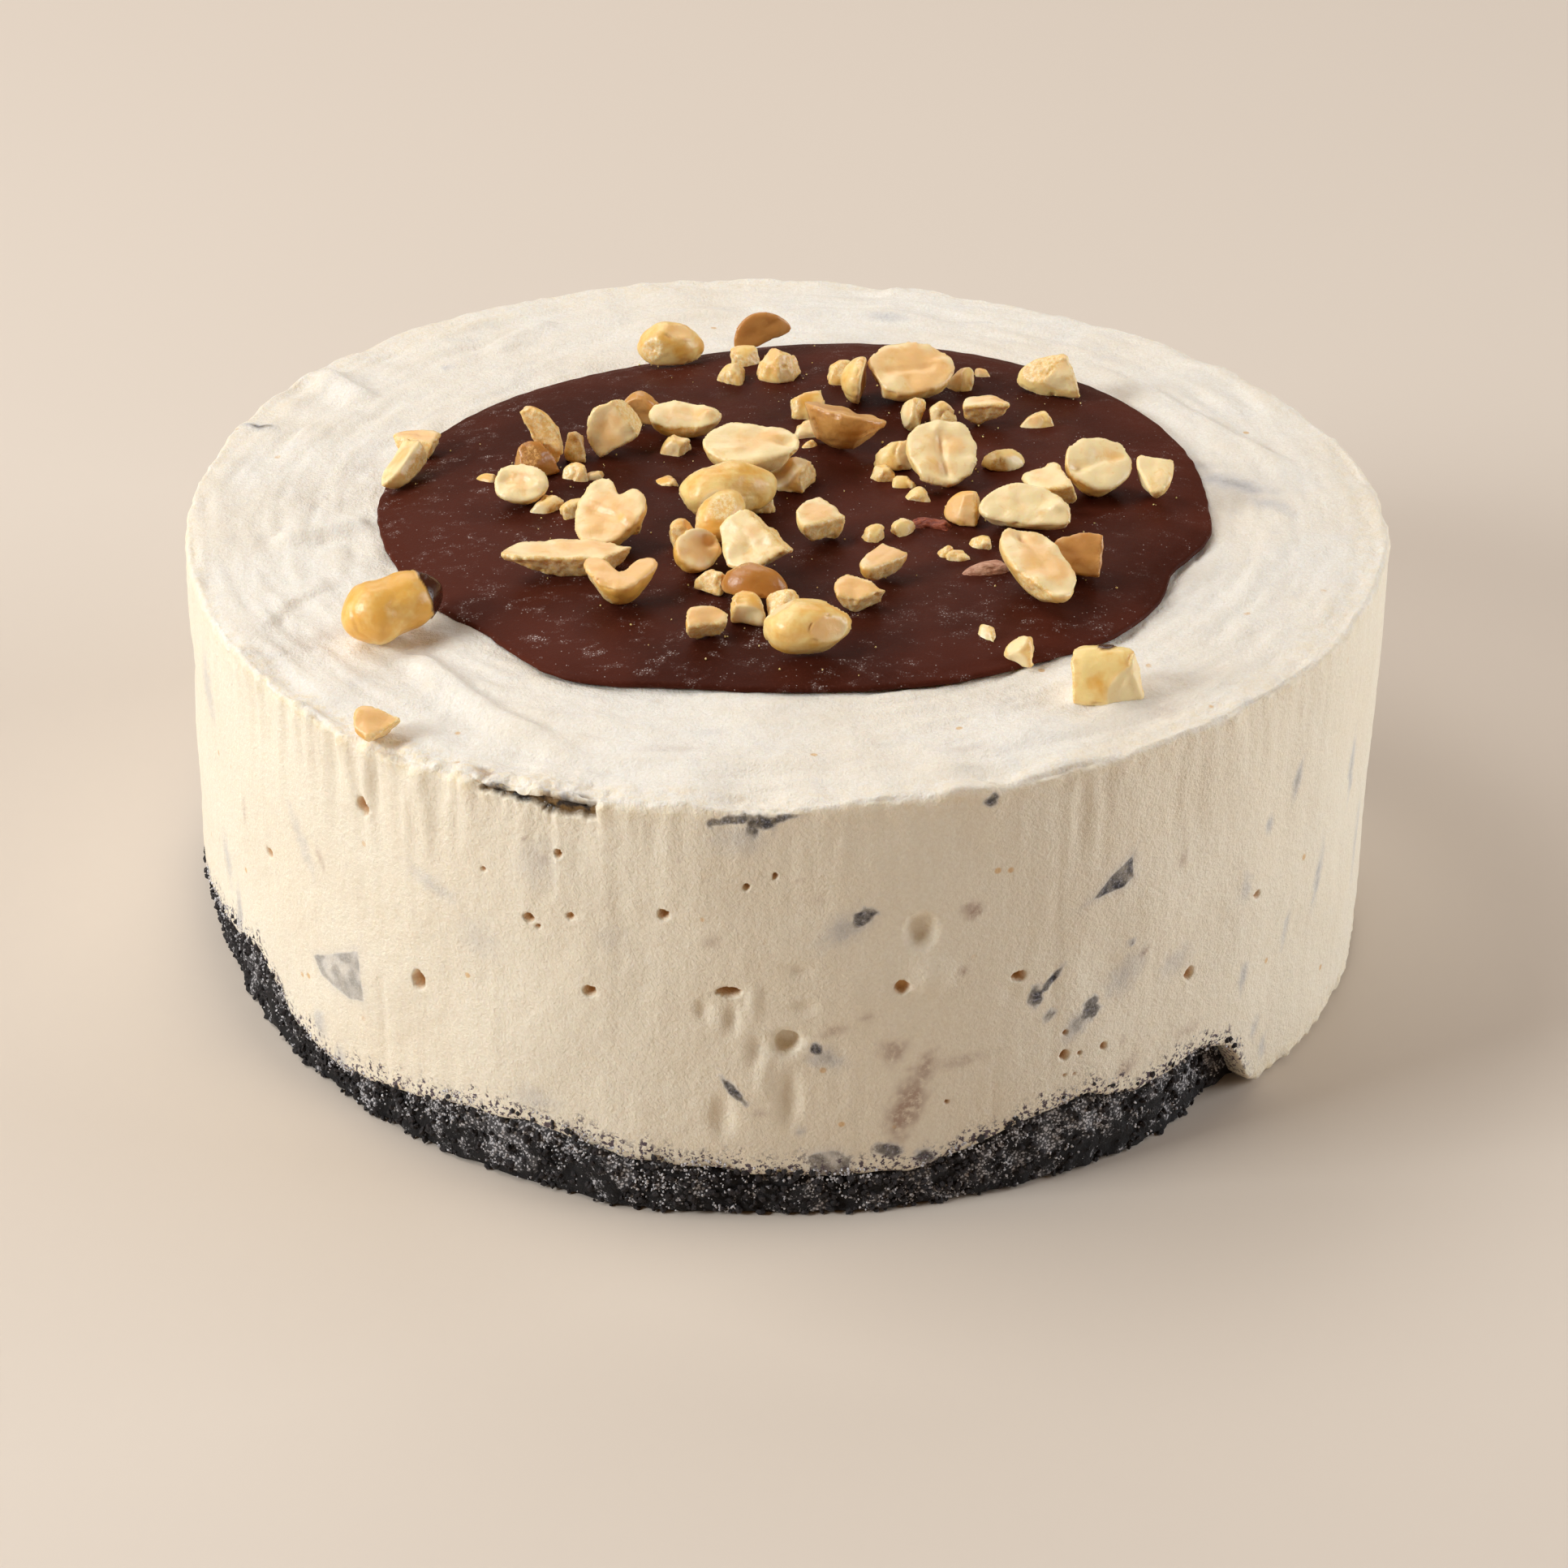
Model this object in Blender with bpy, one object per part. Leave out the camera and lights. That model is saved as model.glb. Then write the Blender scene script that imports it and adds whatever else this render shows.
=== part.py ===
"""A round ice cream cake: cookie-crumb crust, vanilla ice cream, a chocolate cap and chopped peanuts."""

import math
import random
from collections import namedtuple

import bmesh
import bpy
from mathutils import Euler, Vector, noise
from mathutils.bvhtree import BVHTree

MM = 0.001

# Driving sizes of the cake. Angles run anticlockwise from +X, and the front of the cake is at 270 degrees.
CAKE_RADIUS = 101.5 * MM
CAKE_HEIGHT = 73.0 * MM
TOP_SLOPE_X = 0.024
TOP_SLOPE_Y = -0.014
# The cake is a little oval and a little three-sided, as shares of its radius, each pointing at its angle.
OVAL = 0.019
OVAL_ANGLE = 134
THREE_SIDED = 0.0135
THREE_SIDED_ANGLE = 4
GAP = 0.3 * MM
SEGMENTS = 108

# The crust, the height of its torn top edge where it shows, and how far it stands back from the ice cream.
CRUST_INNER_HEIGHT = 8.0 * MM
CRUST_TOP_LINE = (
    (190, 9.0), (205, 13.0), (212, 16.0), (218, 8.0), (226, 6.0), (240, 10.0), (248, 11.5), (258, 8.5),
    (268, 7.5), (276, 6.5), (284, 6.5), (292, 11.0), (300, 14.0), (305, 11.0), (313, 14.0), (320, 9.0),
)
CRUST_SETBACK = (
    (0, 4.5), (22, 4.5), (34, 1.0), (180, 1.0), (200, 2.5), (226, 1.5), (246, 0.2), (258, -1.2),
    (270, 0.0), (300, 0.3), (310, 1.5), (317, 4.5), (360, 4.5),
)
CRUST_EDGE = 1.5 * MM
CRUST_ROUGHNESS = 0.6 * MM

# The ice cream runs down over the crust between these angles, at the right of the cake.
COVER_START = 317
COVER_END = 382
COVER_RAMP = 5
FOOT_CLEARANCE = 0.45 * MM
SIDE_RINGS = 9
TOP_RING_RADII = (97.0 * MM, 92.5 * MM, 88.0 * MM, 83.0 * MM, 78.5 * MM)
RIM_RELIEF = 0.9 * MM
SIDE_RELIEF = 0.55 * MM
WORN_RIM_ANGLE = 232
WORN_RIM_WIDTH = 26
WORN_RIM_DEPTH = 1.4 * MM

# The chocolate cap. Its outline is a circle with a lobe wherever the pour ran out or stopped short, as (angle,
# reach in millimetres, half width in degrees).
GANACHE_CENTRE = (2.7 * MM, -0.2 * MM)
GANACHE_RADIUS = 68.8 * MM
GANACHE_LOBES = (
    (34, 2.6, 42), (112, -4.0, 26), (178, 1.6, 15), (222, -1.5, 6), (240, 2.4, 8), (256, -1.0, 7),
    (271, -2.4, 16), (317, 1.5, 9), (328, 1.0, 20), (337, -2.2, 6), (351, 1.0, 6),
)
GANACHE_THICKNESS = 3.4 * MM
# How thick the pour is at each distance in from its edge, in millimetres: it runs out thin.
GANACHE_TOP_LINE = ((0.4, 0.95), (3.0, 1.7), (8.0, 2.5), (14.0, 3.1), (26.0, 3.4))
GANACHE_MIDDLE_RINGS = (0.45, 0.3, 0.15)
GANACHE_RIPPLE = 0.35 * MM
GANACHE_SEGMENTS = 72

# Chopped peanuts that lie free: name, form, place (x, y), size (length, width, height), then turn, pitch and
# roll in degrees. A roll of 0 puts the domed side up and 180 the flat one. The heap is listed from below.
Nut = namedtuple("Nut", "name form x y length width height turn pitch roll")
NUTS = (
    Nut("whole_peanut", "whole", -61, -46, 17, 11, 10, 28, -10, 0),
    Nut("rim_pair_tall", "tip", -63.5, 7.5, 10.5, 5, 4, 60, -25, 150),
    Nut("rim_pair_flat", "quarter", -62.5, 19, 7.5, 5, 3, -15, 0, 180),
    Nut("back_half", "half", -19.5, 56.5, 12, 8.5, 5.5, 10, 0, 20),
    Nut("back_crescent", "crescent", -4, 62, 11, 6, 4, 15, -20, -100),
    Nut("back_block", "block", 0, 47, 7, 7, 4.5, -25, 0, 0),
    Nut("brown_crescent", "crescent", -23.5, 26.5, 8.5, 6.5, 4, -10, 0, -70),
    Nut("boat", "half", -16, 21.5, 12.5, 6.5, 4.5, -5, 0, 200),
    Nut("upright_wedge", "wedge", -28, 15.5, 9, 10.5, 5.5, -10, 10, -100),
    Nut("brown_block", "block", -41.5, 7, 7, 6, 5, 30, 0, 0),
    Nut("upright_strip", "strip", -39, 10.5, 11, 5, 4, 150, -60, 0),
    Nut("left_block", "block", -34.7, 12.5, 3.6, 4.4, 4.5, 0, 0, 0),
    Nut("germ_half_left", "half", -42.5, -4, 9, 7, 4, -15, 0, 215),
    Nut("long_wedge", "spear", -34, -30.5, 21.5, 7.5, 4, 5, 0, 180),
    Nut("heart_half", "heart", -25.5, -21.5, 11.5, 12.5, 6, -30, 0, 215),
    Nut("vee", "vee", -25, -41, 11.5, 8.5, 5.5, 0, 0, 190),
    Nut("pile_block_low", "block", -3.5, -7.5, 6.5, 5, 3.5, 0, 0, 0),
    Nut("pile_chip", "block", -15.5, -22.5, 4, 5, 5, 20, 0, 0),
    Nut("pile_block_front", "block", -4, -48, 6, 5, 4.5, -10, 0, 0),
    Nut("pile_block_mid", "block", 0.5, -48, 5.5, 6, 5, 15, 0, 0),
    Nut("pile_corner", "block", -10, -38, 5, 4.5, 3.5, -30, 0, 0),
    Nut("pile_tip", "tip", 2, 1.5, 7.5, 6.5, 4.5, -20, 0, 0),
    Nut("pile_germ_half", "half", -13.5, -30.5, 9, 7, 4.5, 50, 0, 220),
    Nut("pile_long_half", "half", -9, -9.5, 17, 10.5, 5.5, 25, 0, 25),
    Nut("pile_triangle", "wedge", -5, -30.5, 12.5, 10, 6, -25, 0, 230),
    Nut("pile_brown_top", "half", -5.5, -42, 10.5, 7, 4, -15, 0, 0),
    Nut("pile_big_curved", "half", 5.5, -59, 14, 8.5, 6, 8, 0, 60),
    Nut("pile_ragged_top", "half", -3, 0, 16, 10.5, 5, 5, 0, 195),
    Nut("pile_leaf", "half", -11.5, -22.5, 10.5, 7.5, 4, 60, -30, 0),
    Nut("front_sliver", "strip", -11.5, -53, 7, 4.5, 4, 25, 0, 200),
    Nut("mid_block", "block", 5.5, 29.5, 6.5, 5, 4, 0, 0, 0),
    Nut("brown_spear", "spear", 10.5, 15.5, 14.5, 9, 6.5, 147, 0, 200),
    Nut("back_tip", "tip", 11, 44, 5, 5, 3.5, 20, 0, 0),
    Nut("germ_half_back", "half", 23, 37.5, 15, 11.5, 5.5, 20, 0, 205),
    Nut("side_on_half", "half", 13, 36, 8.5, 8, 3.5, 80, 0, -85),
    Nut("pale_block", "block", 28.5, 25.5, 4.5, 5.5, 4, 10, 0, 0),
    Nut("back_dome", "tip", 48, 40.5, 11, 7.5, 5.5, -5, 0, 15),
    Nut("right_strip", "strip", 36, 26.5, 8, 4.5, 4, 5, 0, 180),
    Nut("pale_tip", "tip", 24, 24, 6, 4, 3.5, 80, -30, 0),
    Nut("grooved_half", "half", 28, 3.5, 13, 12, 5.5, -78, 30, 180),
    Nut("mid_tip", "tip", 21, 9, 6.5, 5.5, 4.5, 10, 0, 0),
    Nut("green_strip", "strip", 39, 7.5, 7.5, 4, 3, 15, 0, 0),
    Nut("peach_half", "half", 53.5, -1.5, 11.5, 10.5, 5.5, 25, 0, 210),
    Nut("right_tip", "tip", 61.5, -2.5, 8, 6, 5, 85, -25, 180),
    Nut("right_wedge", "wedge", 46.5, -6.5, 9.5, 7, 5, -40, 0, 200),
    Nut("centre_tip", "tip", 31, -12.5, 6.5, 5.5, 5, -20, 0, 0),
    Nut("bean", "bean", 41.5, -15.5, 15.5, 7.5, 5.5, -15, 0, 215),
    Nut("centre_quarter", "quarter", 6, -19.5, 8, 7, 4, 40, 0, 195),
    Nut("centre_oval", "tip", 16.5, -35, 9, 5, 4, 55, 0, 190),
    Nut("brown_tip", "tip", 49, -31.5, 8.5, 7, 5.5, -10, 0, 230),
    Nut("germ_half_front", "half", 42, -39, 18, 9.5, 5.5, -62, 14, 180),
    Nut("front_wedge", "wedge", 13.5, -44, 8, 5.5, 4, 0, 0, 200),
    Nut("rim_flake", "wedge", -61, -78, 7.5, 6, 4, 10, 0, 205),
    Nut("rim_chunk", "block", 52, -67.5, 11.5, 8.5, 7.5, -5, 0, 0),
)
ROASTED = ("brown_crescent", "brown_block", "brown_spear", "brown_tip", "pile_brown_top", "back_crescent")

# Crumbs of nut stuck in the chocolate: place (x, y), size (length, width, height), turn in degrees.
NUT_BITS = (
    (-6, 54, 5.5, 4.5, 4, 20), (-8.5, 45.5, 5, 5, 4, -10), (-17.5, 15, 5.5, 5, 4, 30),
    (-34, 5, 5, 4.5, 3.5, -20), (-49.5, 5, 4, 2.5, 2, -20), (-38.5, -7, 6.5, 4.5, 3, 10),
    (-33.5, -9.5, 5.5, 3.5, 3.5, 25), (-31.5, 4.5, 4.5, 2.5, 2, 10), (-18.5, 2.5, 5.5, 3.5, 1.8, -40),
    (5, 21.5, 4.5, 4, 3.5, 0), (5.5, 16.5, 3.5, 2.5, 2, 35), (32.5, 41.5, 5, 5, 4.5, 60),
    (36.5, 47.5, 3, 3, 2, 0), (45, 25, 6, 3.5, 3, 25), (18.5, 4, 5, 4.5, 3.5, -30),
    (21.5, 1, 4, 3, 2.2, 0), (23.5, -4, 4, 4, 2.8, 10), (16, -19.5, 4.5, 4, 3.5, 20),
    (21, -17, 4, 3, 3, 40), (25.5, -15, 8, 2.6, 1.6, -18), (27.5, -25.5, 4, 3, 2, 50),
    (29.5, -27, 4, 2.8, 2, 20), (34, -32, 8, 3, 1.8, 18), (34, -22, 4.5, 3.5, 2.5, -50),
    (34, -52.5, 3.8, 3, 2, -30), (38.5, -57, 4.8, 4.6, 3.6, 0),
)
BIT_SINK = 1.2 * MM

# Cuts that break a half nut into each form: direction round the nut, lean of the cut, and its distance from
# the middle as a share of the nut's half size. A bend curls the long axis sideways.
FORM_CUTS = {
    "whole": (),
    "half": (),
    "crescent": (),
    "bean": (),
    "vee": (),
    "heart": (),
    "tip": ((0, 12, 0.15),),
    "block": ((6, 8, 0.35), (172, -10, 0.45)),
    "quarter": ((4, 8, 0.2), (95, -5, 0.15)),
    "wedge": ((38, 14, 0.25), (-44, -8, 0.2)),
    "spear": ((20, 6, 0.5), (100, 22, 0.2)),
    "strip": ((92, 18, 0.05),),
}
FORM_BEND = {"crescent": 0.75, "bean": 0.45, "vee": -0.8, "heart": -0.25}
# Notches in the long side, as (depth, half width), and how much fuller than an oval a whole nut is.
NOTCHES = {"vee": (0.85, 0.4), "heart": (0.4, 0.25)}
WHOLE_FULLNESS = 0.16
NUT_SIDES = 10
NUT_RINGS = 7
BIT_SIDES = 8
BIT_RINGS = 4
NUT_UNEVENNESS = 0.05
NUT_NARROWING = 0.12
NUDGES = (0.0, 1.0, 2.0)
NUDGE_COST = 0.3
DROP_HEIGHT = 60.0 * MM
LIFT_STEP = 0.2 * MM

random.seed(3)
noise.seed_set(3)


def clear_scene():
    for old in list(bpy.data.objects):
        bpy.data.objects.remove(old)


def make_material(name, colour, roughness):
    material = bpy.data.materials.new(name)
    material.use_nodes = True
    shader = material.node_tree.nodes["Principled BSDF"]
    shader.inputs["Base Color"].default_value = (*colour, 1.0)
    shader.inputs["Roughness"].default_value = roughness
    return material


def add_object(name, mesh, material):
    mesh.materials.append(material)
    made = bpy.data.objects.new(name, mesh)
    bpy.context.scene.collection.objects.link(made)
    return made


def blend_points(points, spot):
    """The value at a spot, an angle or a distance, on straight lines between (spot, value) points."""
    for (start, low), (end, high) in zip(points, points[1:]):
        if start <= spot <= end:
            return low + (high - low) * (spot - start) / (end - start)
    return None


def smooth_step(low, high, value):
    share = min(max((value - low) / (high - low), 0.0), 1.0)
    return share * share * (3.0 - 2.0 * share)


def ring_noise(degrees, height, grain, seed):
    """Even noise from -1 to 1 that closes on itself round the cake; grain is the size of its lumps."""
    angle = math.radians(degrees)
    spot = Vector((CAKE_RADIUS * math.cos(angle), CAKE_RADIUS * math.sin(angle), height)) / grain
    return noise.noise(spot + Vector((seed, 0.0, 0.0)))


def side_radius(degrees):
    oval = OVAL * math.cos(2.0 * math.radians(degrees - OVAL_ANGLE))
    three_sided = THREE_SIDED * math.cos(3.0 * math.radians(degrees - THREE_SIDED_ANGLE))
    return CAKE_RADIUS * (1.0 + oval + three_sided)


def top_plane(x, y):
    return CAKE_HEIGHT + TOP_SLOPE_X * x + TOP_SLOPE_Y * y


def crust_edge(degrees):
    """Outer radius and top height of the crust at an angle, broken up as torn crumbs are."""
    height = blend_points(CRUST_TOP_LINE, degrees)
    if height is None:
        height = 9.5 + 2.0 * math.sin(math.radians(3.0 * degrees + 40.0))
    setback = blend_points(CRUST_SETBACK, degrees) * MM
    radius = side_radius(degrees) - setback + CRUST_ROUGHNESS * ring_noise(degrees, 0.0, 7.0 * MM, 5.0)
    return radius, height * MM + CRUST_ROUGHNESS * ring_noise(degrees, 0.02, 5.0 * MM, 9.0)


def crust_shoulder(degrees):
    """Radius where the crust's top meets its broken edge: the last ring that the ice cream sits on."""
    return min(crust_edge(degrees)[0] - CRUST_EDGE, side_radius(degrees) - CRUST_EDGE - 0.6 * MM)


def crust_profile(degrees):
    radius, height = crust_edge(degrees)
    waist = radius + CRUST_ROUGHNESS * ring_noise(degrees, height / 2.0, 4.0 * MM, 2.0)
    return (
        (0.0, 0.0),
        (radius - 0.7 * MM, 0.0),
        (radius, 1.2 * MM),
        (waist, height * 0.55),
        (radius - 0.3 * MM, height - 1.0 * MM),
        (crust_shoulder(degrees), height),
        (radius * 0.9, 0.5 * (height + CRUST_INNER_HEIGHT)),
        (radius * 0.75, CRUST_INNER_HEIGHT),
        (0.0, CRUST_INNER_HEIGHT),
    )


def cover_share(degrees):
    """1 where the ice cream hides the crust down to its foot, 0 where the crust shows."""
    turned = degrees if degrees > 180 else degrees + 360
    rise = smooth_step(COVER_START, COVER_START + COVER_RAMP, turned)
    return rise * (1.0 - smooth_step(COVER_END - COVER_RAMP, COVER_END, turned))


def rim_height(degrees):
    """Height of the torn rim above the flat top, lower where the rim is worn away."""
    worn = math.exp(-(((degrees - WORN_RIM_ANGLE) / WORN_RIM_WIDTH) ** 2))
    return RIM_RELIEF * ring_noise(degrees, 0.07, 8.0 * MM, 1.0) - WORN_RIM_DEPTH * worn


def ice_cream_profile(degrees):
    crust_radius, crust_height = crust_edge(degrees)
    outer = side_radius(degrees)
    angle = math.radians(degrees)
    edge_top = top_plane(outer * math.cos(angle), outer * math.sin(angle)) + rim_height(degrees)
    cover = cover_share(degrees)
    seat = crust_height + GAP
    low = seat + (FOOT_CLEARANCE - seat) * cover
    inner = min(crust_radius + 1.0 * MM, outer - 1.2 * MM)
    points = [
        (0.0, CRUST_INNER_HEIGHT + GAP),
        (crust_radius * 0.75, CRUST_INNER_HEIGHT + GAP),
        (crust_radius * 0.9, 0.5 * (crust_height + CRUST_INNER_HEIGHT) + GAP),
        (crust_shoulder(degrees), seat),
        (inner - 0.4 * MM, seat),
        (inner, low),
        (outer - 0.6 * MM, low),
    ]
    for ring in range(SIDE_RINGS):
        height = low + 1.0 * MM + (edge_top - 2.6 * MM - low) * ring / (SIDE_RINGS - 1)
        relief = SIDE_RELIEF * ring_noise(degrees, height, 14.0 * MM, 3.0)
        points.append((outer + relief, height))
    points.append((outer - 0.9 * MM, edge_top - 0.3 * MM))
    for index, radius in enumerate(TOP_RING_RADII):
        x = radius * math.cos(angle)
        y = radius * math.sin(angle)
        fade = 1.0 - index / (len(TOP_RING_RADII) - 1)
        lift = fade * (rim_height(degrees) + RIM_RELIEF * noise.noise(Vector((x, y, 0.3)) / (11.0 * MM)))
        points.append((radius, top_plane(x, y) + lift))
    points.append((0.0, top_plane(0.0, 0.0)))
    return points


def ganache_radius(degrees):
    """Radius of the chocolate's outline: a circle, with each lobe fading out on both its sides."""
    reach = 0.0
    for at, height, wide in GANACHE_LOBES:
        away = (degrees - at + 180.0) % 360.0 - 180.0
        reach += height * math.exp(-((away / wide) ** 2))
    return GANACHE_RADIUS + reach * MM


def ganache_profile(degrees):
    """Points (radius, height above the ice cream), from the middle below to the middle above."""
    radius = ganache_radius(degrees)
    points = [(0.0, GAP), (radius - 0.6 * MM, GAP), (radius, GAP + 0.5 * MM)]
    points += [(radius - back * MM, GAP + thick * MM) for back, thick in GANACHE_TOP_LINE]
    points += [(radius * share, GAP + GANACHE_THICKNESS) for share in GANACHE_MIDDLE_RINGS]
    points.append((0.0, GAP + GANACHE_THICKNESS))
    return points


def ganache_top(x, y):
    """Height of the top of the chocolate at a place on it, without its ripples."""
    across = x - GANACHE_CENTRE[0]
    along = y - GANACHE_CENTRE[1]
    back = (ganache_radius(math.degrees(math.atan2(along, across)) % 360.0) - math.hypot(across, along)) / MM
    first, last = GANACHE_TOP_LINE[0][0], GANACHE_TOP_LINE[-1][0]
    return top_plane(x, y) + GAP + blend_points(GANACHE_TOP_LINE, min(max(back, first), last)) * MM


def turned_mesh(name, profile, segments, centre=(0.0, 0.0), lift=None):
    """A closed mesh whose profile, from the middle below to the middle above, changes with the angle.

    Each face of the grid is split from its inner corner, so that surfaces which follow each other stay apart.
    """
    body = bmesh.new()
    columns = []
    for step in range(segments):
        degrees = 360.0 * step / segments
        angle = math.radians(degrees)
        column = []
        for index, (radius, height) in enumerate(profile(degrees)):
            on_axis = radius == 0.0
            if on_axis and columns:
                column.append(columns[0][index])
                continue
            x = centre[0] + radius * math.cos(angle)
            y = centre[1] + radius * math.sin(angle)
            z = lift(x, y, height) if lift else height
            column.append(body.verts.new((x, y, z)))
        columns.append(column)
    middle = Vector((centre[0], centre[1]))
    for step, column in enumerate(columns):
        after = columns[(step + 1) % segments]
        for index in range(len(column) - 1):
            inside, outside = index, index + 1
            if (column[index].co.xy - middle).length > (column[index + 1].co.xy - middle).length:
                inside, outside = index + 1, index
            for corners in (
                (column[inside], column[outside], after[outside]),
                (column[inside], after[outside], after[inside]),
            ):
                if len(set(corners)) == 3:
                    body.faces.new(corners)
    bmesh.ops.recalc_face_normals(body, faces=body.faces)
    return finish_mesh(name, body)


def finish_mesh(name, body):
    mesh = bpy.data.meshes.new(name)
    body.to_mesh(mesh)
    body.free()
    mesh.shade_smooth()
    mesh.set_sharp_from_angle(angle=math.radians(35.0))
    return mesh


def make_crust():
    mesh = turned_mesh("crust", crust_profile, SEGMENTS)
    return add_object("crust", mesh, make_material("cookie_crust", (0.03, 0.025, 0.028), 0.9))


def make_ice_cream():
    mesh = turned_mesh("ice_cream", ice_cream_profile, SEGMENTS)
    return add_object("ice_cream", mesh, make_material("vanilla_ice_cream", (0.86, 0.81, 0.71), 0.45))


def ganache_height(x, y, height):
    """Height of the chocolate over the ice cream, with soft ripples that fade out at the underside."""
    share = (height - GAP) / GANACHE_THICKNESS
    ripple = GANACHE_RIPPLE * noise.noise(Vector((x, y, 0.0)) / (16.0 * MM))
    return top_plane(x, y) + height + ripple * share * share


def cut_half(body, direction):
    """Removes what lies beyond the plane and closes the cut."""
    spot, normal = direction
    geometry = body.verts[:] + body.edges[:] + body.faces[:]
    bmesh.ops.bisect_plane(body, geom=geometry, plane_co=spot, plane_no=normal, clear_outer=True)
    rim = [edge for edge in body.edges if edge.is_boundary]
    bmesh.ops.holes_fill(body, edges=rim)


def in_fixed_order(body):
    """The same body with its points, faces and their corners in an order that only their places decide."""
    points = sorted(body.verts, key=lambda vertex: [round(value, 5) for value in vertex.co])
    rank = {vertex: index for index, vertex in enumerate(points)}
    loops = []
    for face in body.faces:
        corners = [rank[vertex] for vertex in face.verts]
        first = corners.index(min(corners))
        loops.append(corners[first:] + corners[:first])
    fixed = bmesh.new()
    places = [fixed.verts.new(vertex.co) for vertex in points]
    for corners in sorted(loops):
        fixed.faces.new([places[index] for index in corners])
    body.free()
    return fixed


def nut_body(form, sides, rings):
    """A nut of unit half size with its long axis along X, split and broken as its form says."""
    body = bmesh.new()
    bmesh.ops.create_uvsphere(body, u_segments=sides, v_segments=rings, radius=1.0)
    for vertex in body.verts:
        x, y, z = vertex.co
        narrowing = 1.0 - NUT_NARROWING * z
        if form == "whole":
            narrowing *= 1.0 + WHOLE_FULLNESS * math.sin(math.pi * min(abs(z), 1.0)) ** 2
        vertex.co = Vector((z, x * narrowing, y * narrowing))
    bmesh.ops.recalc_face_normals(body, faces=body.faces)
    if form != "whole":
        cut_half(body, (Vector((0.0, 0.0, 0.02)), Vector((0.0, 0.0, -1.0))))
    for turn, lean, share in FORM_CUTS[form]:
        wobble = math.radians(turn + random.uniform(-8.0, 8.0))
        tilt = math.radians(lean + random.uniform(-6.0, 6.0))
        level = math.cos(tilt)
        normal = Vector((math.cos(wobble) * level, math.sin(wobble) * level, math.sin(tilt)))
        cut_half(body, (normal * share, normal))
    bend = FORM_BEND.get(form, 0.0)
    depth, width = NOTCHES.get(form, (0.0, 1.0))
    for vertex in body.verts:
        notch = depth * math.exp(-((vertex.co.x / width) ** 2))
        vertex.co.y += notch * max(-vertex.co.y, 0.0) + bend * vertex.co.x ** 2
    body = in_fixed_order(body)
    bmesh.ops.recalc_face_normals(body, faces=body.faces)
    return body


def fit_size(body, size):
    """Scales the body to a bounding box of the given size, centred on its own origin."""
    low = Vector([min(vertex.co[axis] for vertex in body.verts) for axis in range(3)])
    high = Vector([max(vertex.co[axis] for vertex in body.verts) for axis in range(3)])
    for vertex in body.verts:
        for axis in range(3):
            share = (vertex.co[axis] - low[axis]) / (high[axis] - low[axis]) - 0.5
            vertex.co[axis] = share * size[axis] * MM


def roughen(body, amount, seed):
    for vertex in body.verts:
        shift = noise.noise_vector(vertex.co / (4.0 * MM) + Vector((seed, seed, 0.0)))
        vertex.co += shift * amount


def peanut_mesh(name, form, size, sides, rings, seed):
    body = nut_body(form, sides, rings)
    fit_size(body, size)
    roughen(body, NUT_UNEVENNESS * size[1] * MM, seed)
    bmesh.ops.triangulate(body, faces=body.faces, quad_method="FIXED", ngon_method="EAR_CLIP")
    return finish_mesh(name, body)


def fuse_bits(ganache, material):
    """Joins the nut crumbs to the chocolate that they stick in, with one Boolean."""
    crumbs = bpy.data.collections.new("nut_crumbs")
    bpy.context.scene.collection.children.link(crumbs)
    for index, (x, y, length, width, height, turn) in enumerate(NUT_BITS):
        form = ("block", "tip", "wedge")[index % 3]
        mesh = peanut_mesh("crumb", form, (length, width, height), BIT_SIDES, BIT_RINGS, index)
        crumb = bpy.data.objects.new("crumb", mesh)
        crumb.location = (x * MM, y * MM, ganache_top(x * MM, y * MM) + 0.5 * height * MM - BIT_SINK)
        crumb.rotation_euler = (0.0, 0.0, math.radians(turn))
        mesh.materials.append(material)
        crumbs.objects.link(crumb)
    union = ganache.modifiers.new("fuse_crumbs", "BOOLEAN")
    union.operation = "UNION"
    union.operand_type = "COLLECTION"
    union.collection = crumbs
    bpy.context.view_layer.update()
    graph = bpy.context.evaluated_depsgraph_get()
    joined = bpy.data.meshes.new_from_object(ganache.evaluated_get(graph))
    ganache.modifiers.remove(union)
    ganache.data = joined
    for crumb in list(crumbs.objects):
        bpy.data.objects.remove(crumb)
    bpy.data.collections.remove(crumbs)


def make_ganache(nut_material):
    mesh = turned_mesh("ganache", ganache_profile, GANACHE_SEGMENTS, GANACHE_CENTRE, ganache_height)
    ganache = add_object("ganache", mesh, make_material("chocolate", (0.075, 0.028, 0.02), 0.35))
    fuse_bits(ganache, nut_material)
    return ganache


class Heap:
    """What is already on the cake, as one set of points and faces that the next nut can land on."""

    def __init__(self, carriers):
        self.points = []
        self.faces = []
        for carrier in carriers:
            self.add(carrier.data, Vector((0.0, 0.0, 0.0)), Euler((0.0, 0.0, 0.0)))

    def add(self, mesh, place, turn):
        first = len(self.points)
        spin = turn.to_matrix()
        self.points += [spin @ vertex.co + place for vertex in mesh.vertices]
        self.faces += [[first + index for index in face.vertices] for face in mesh.polygons]

    def tree(self):
        return BVHTree.FromPolygons(self.points, self.faces)


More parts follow.
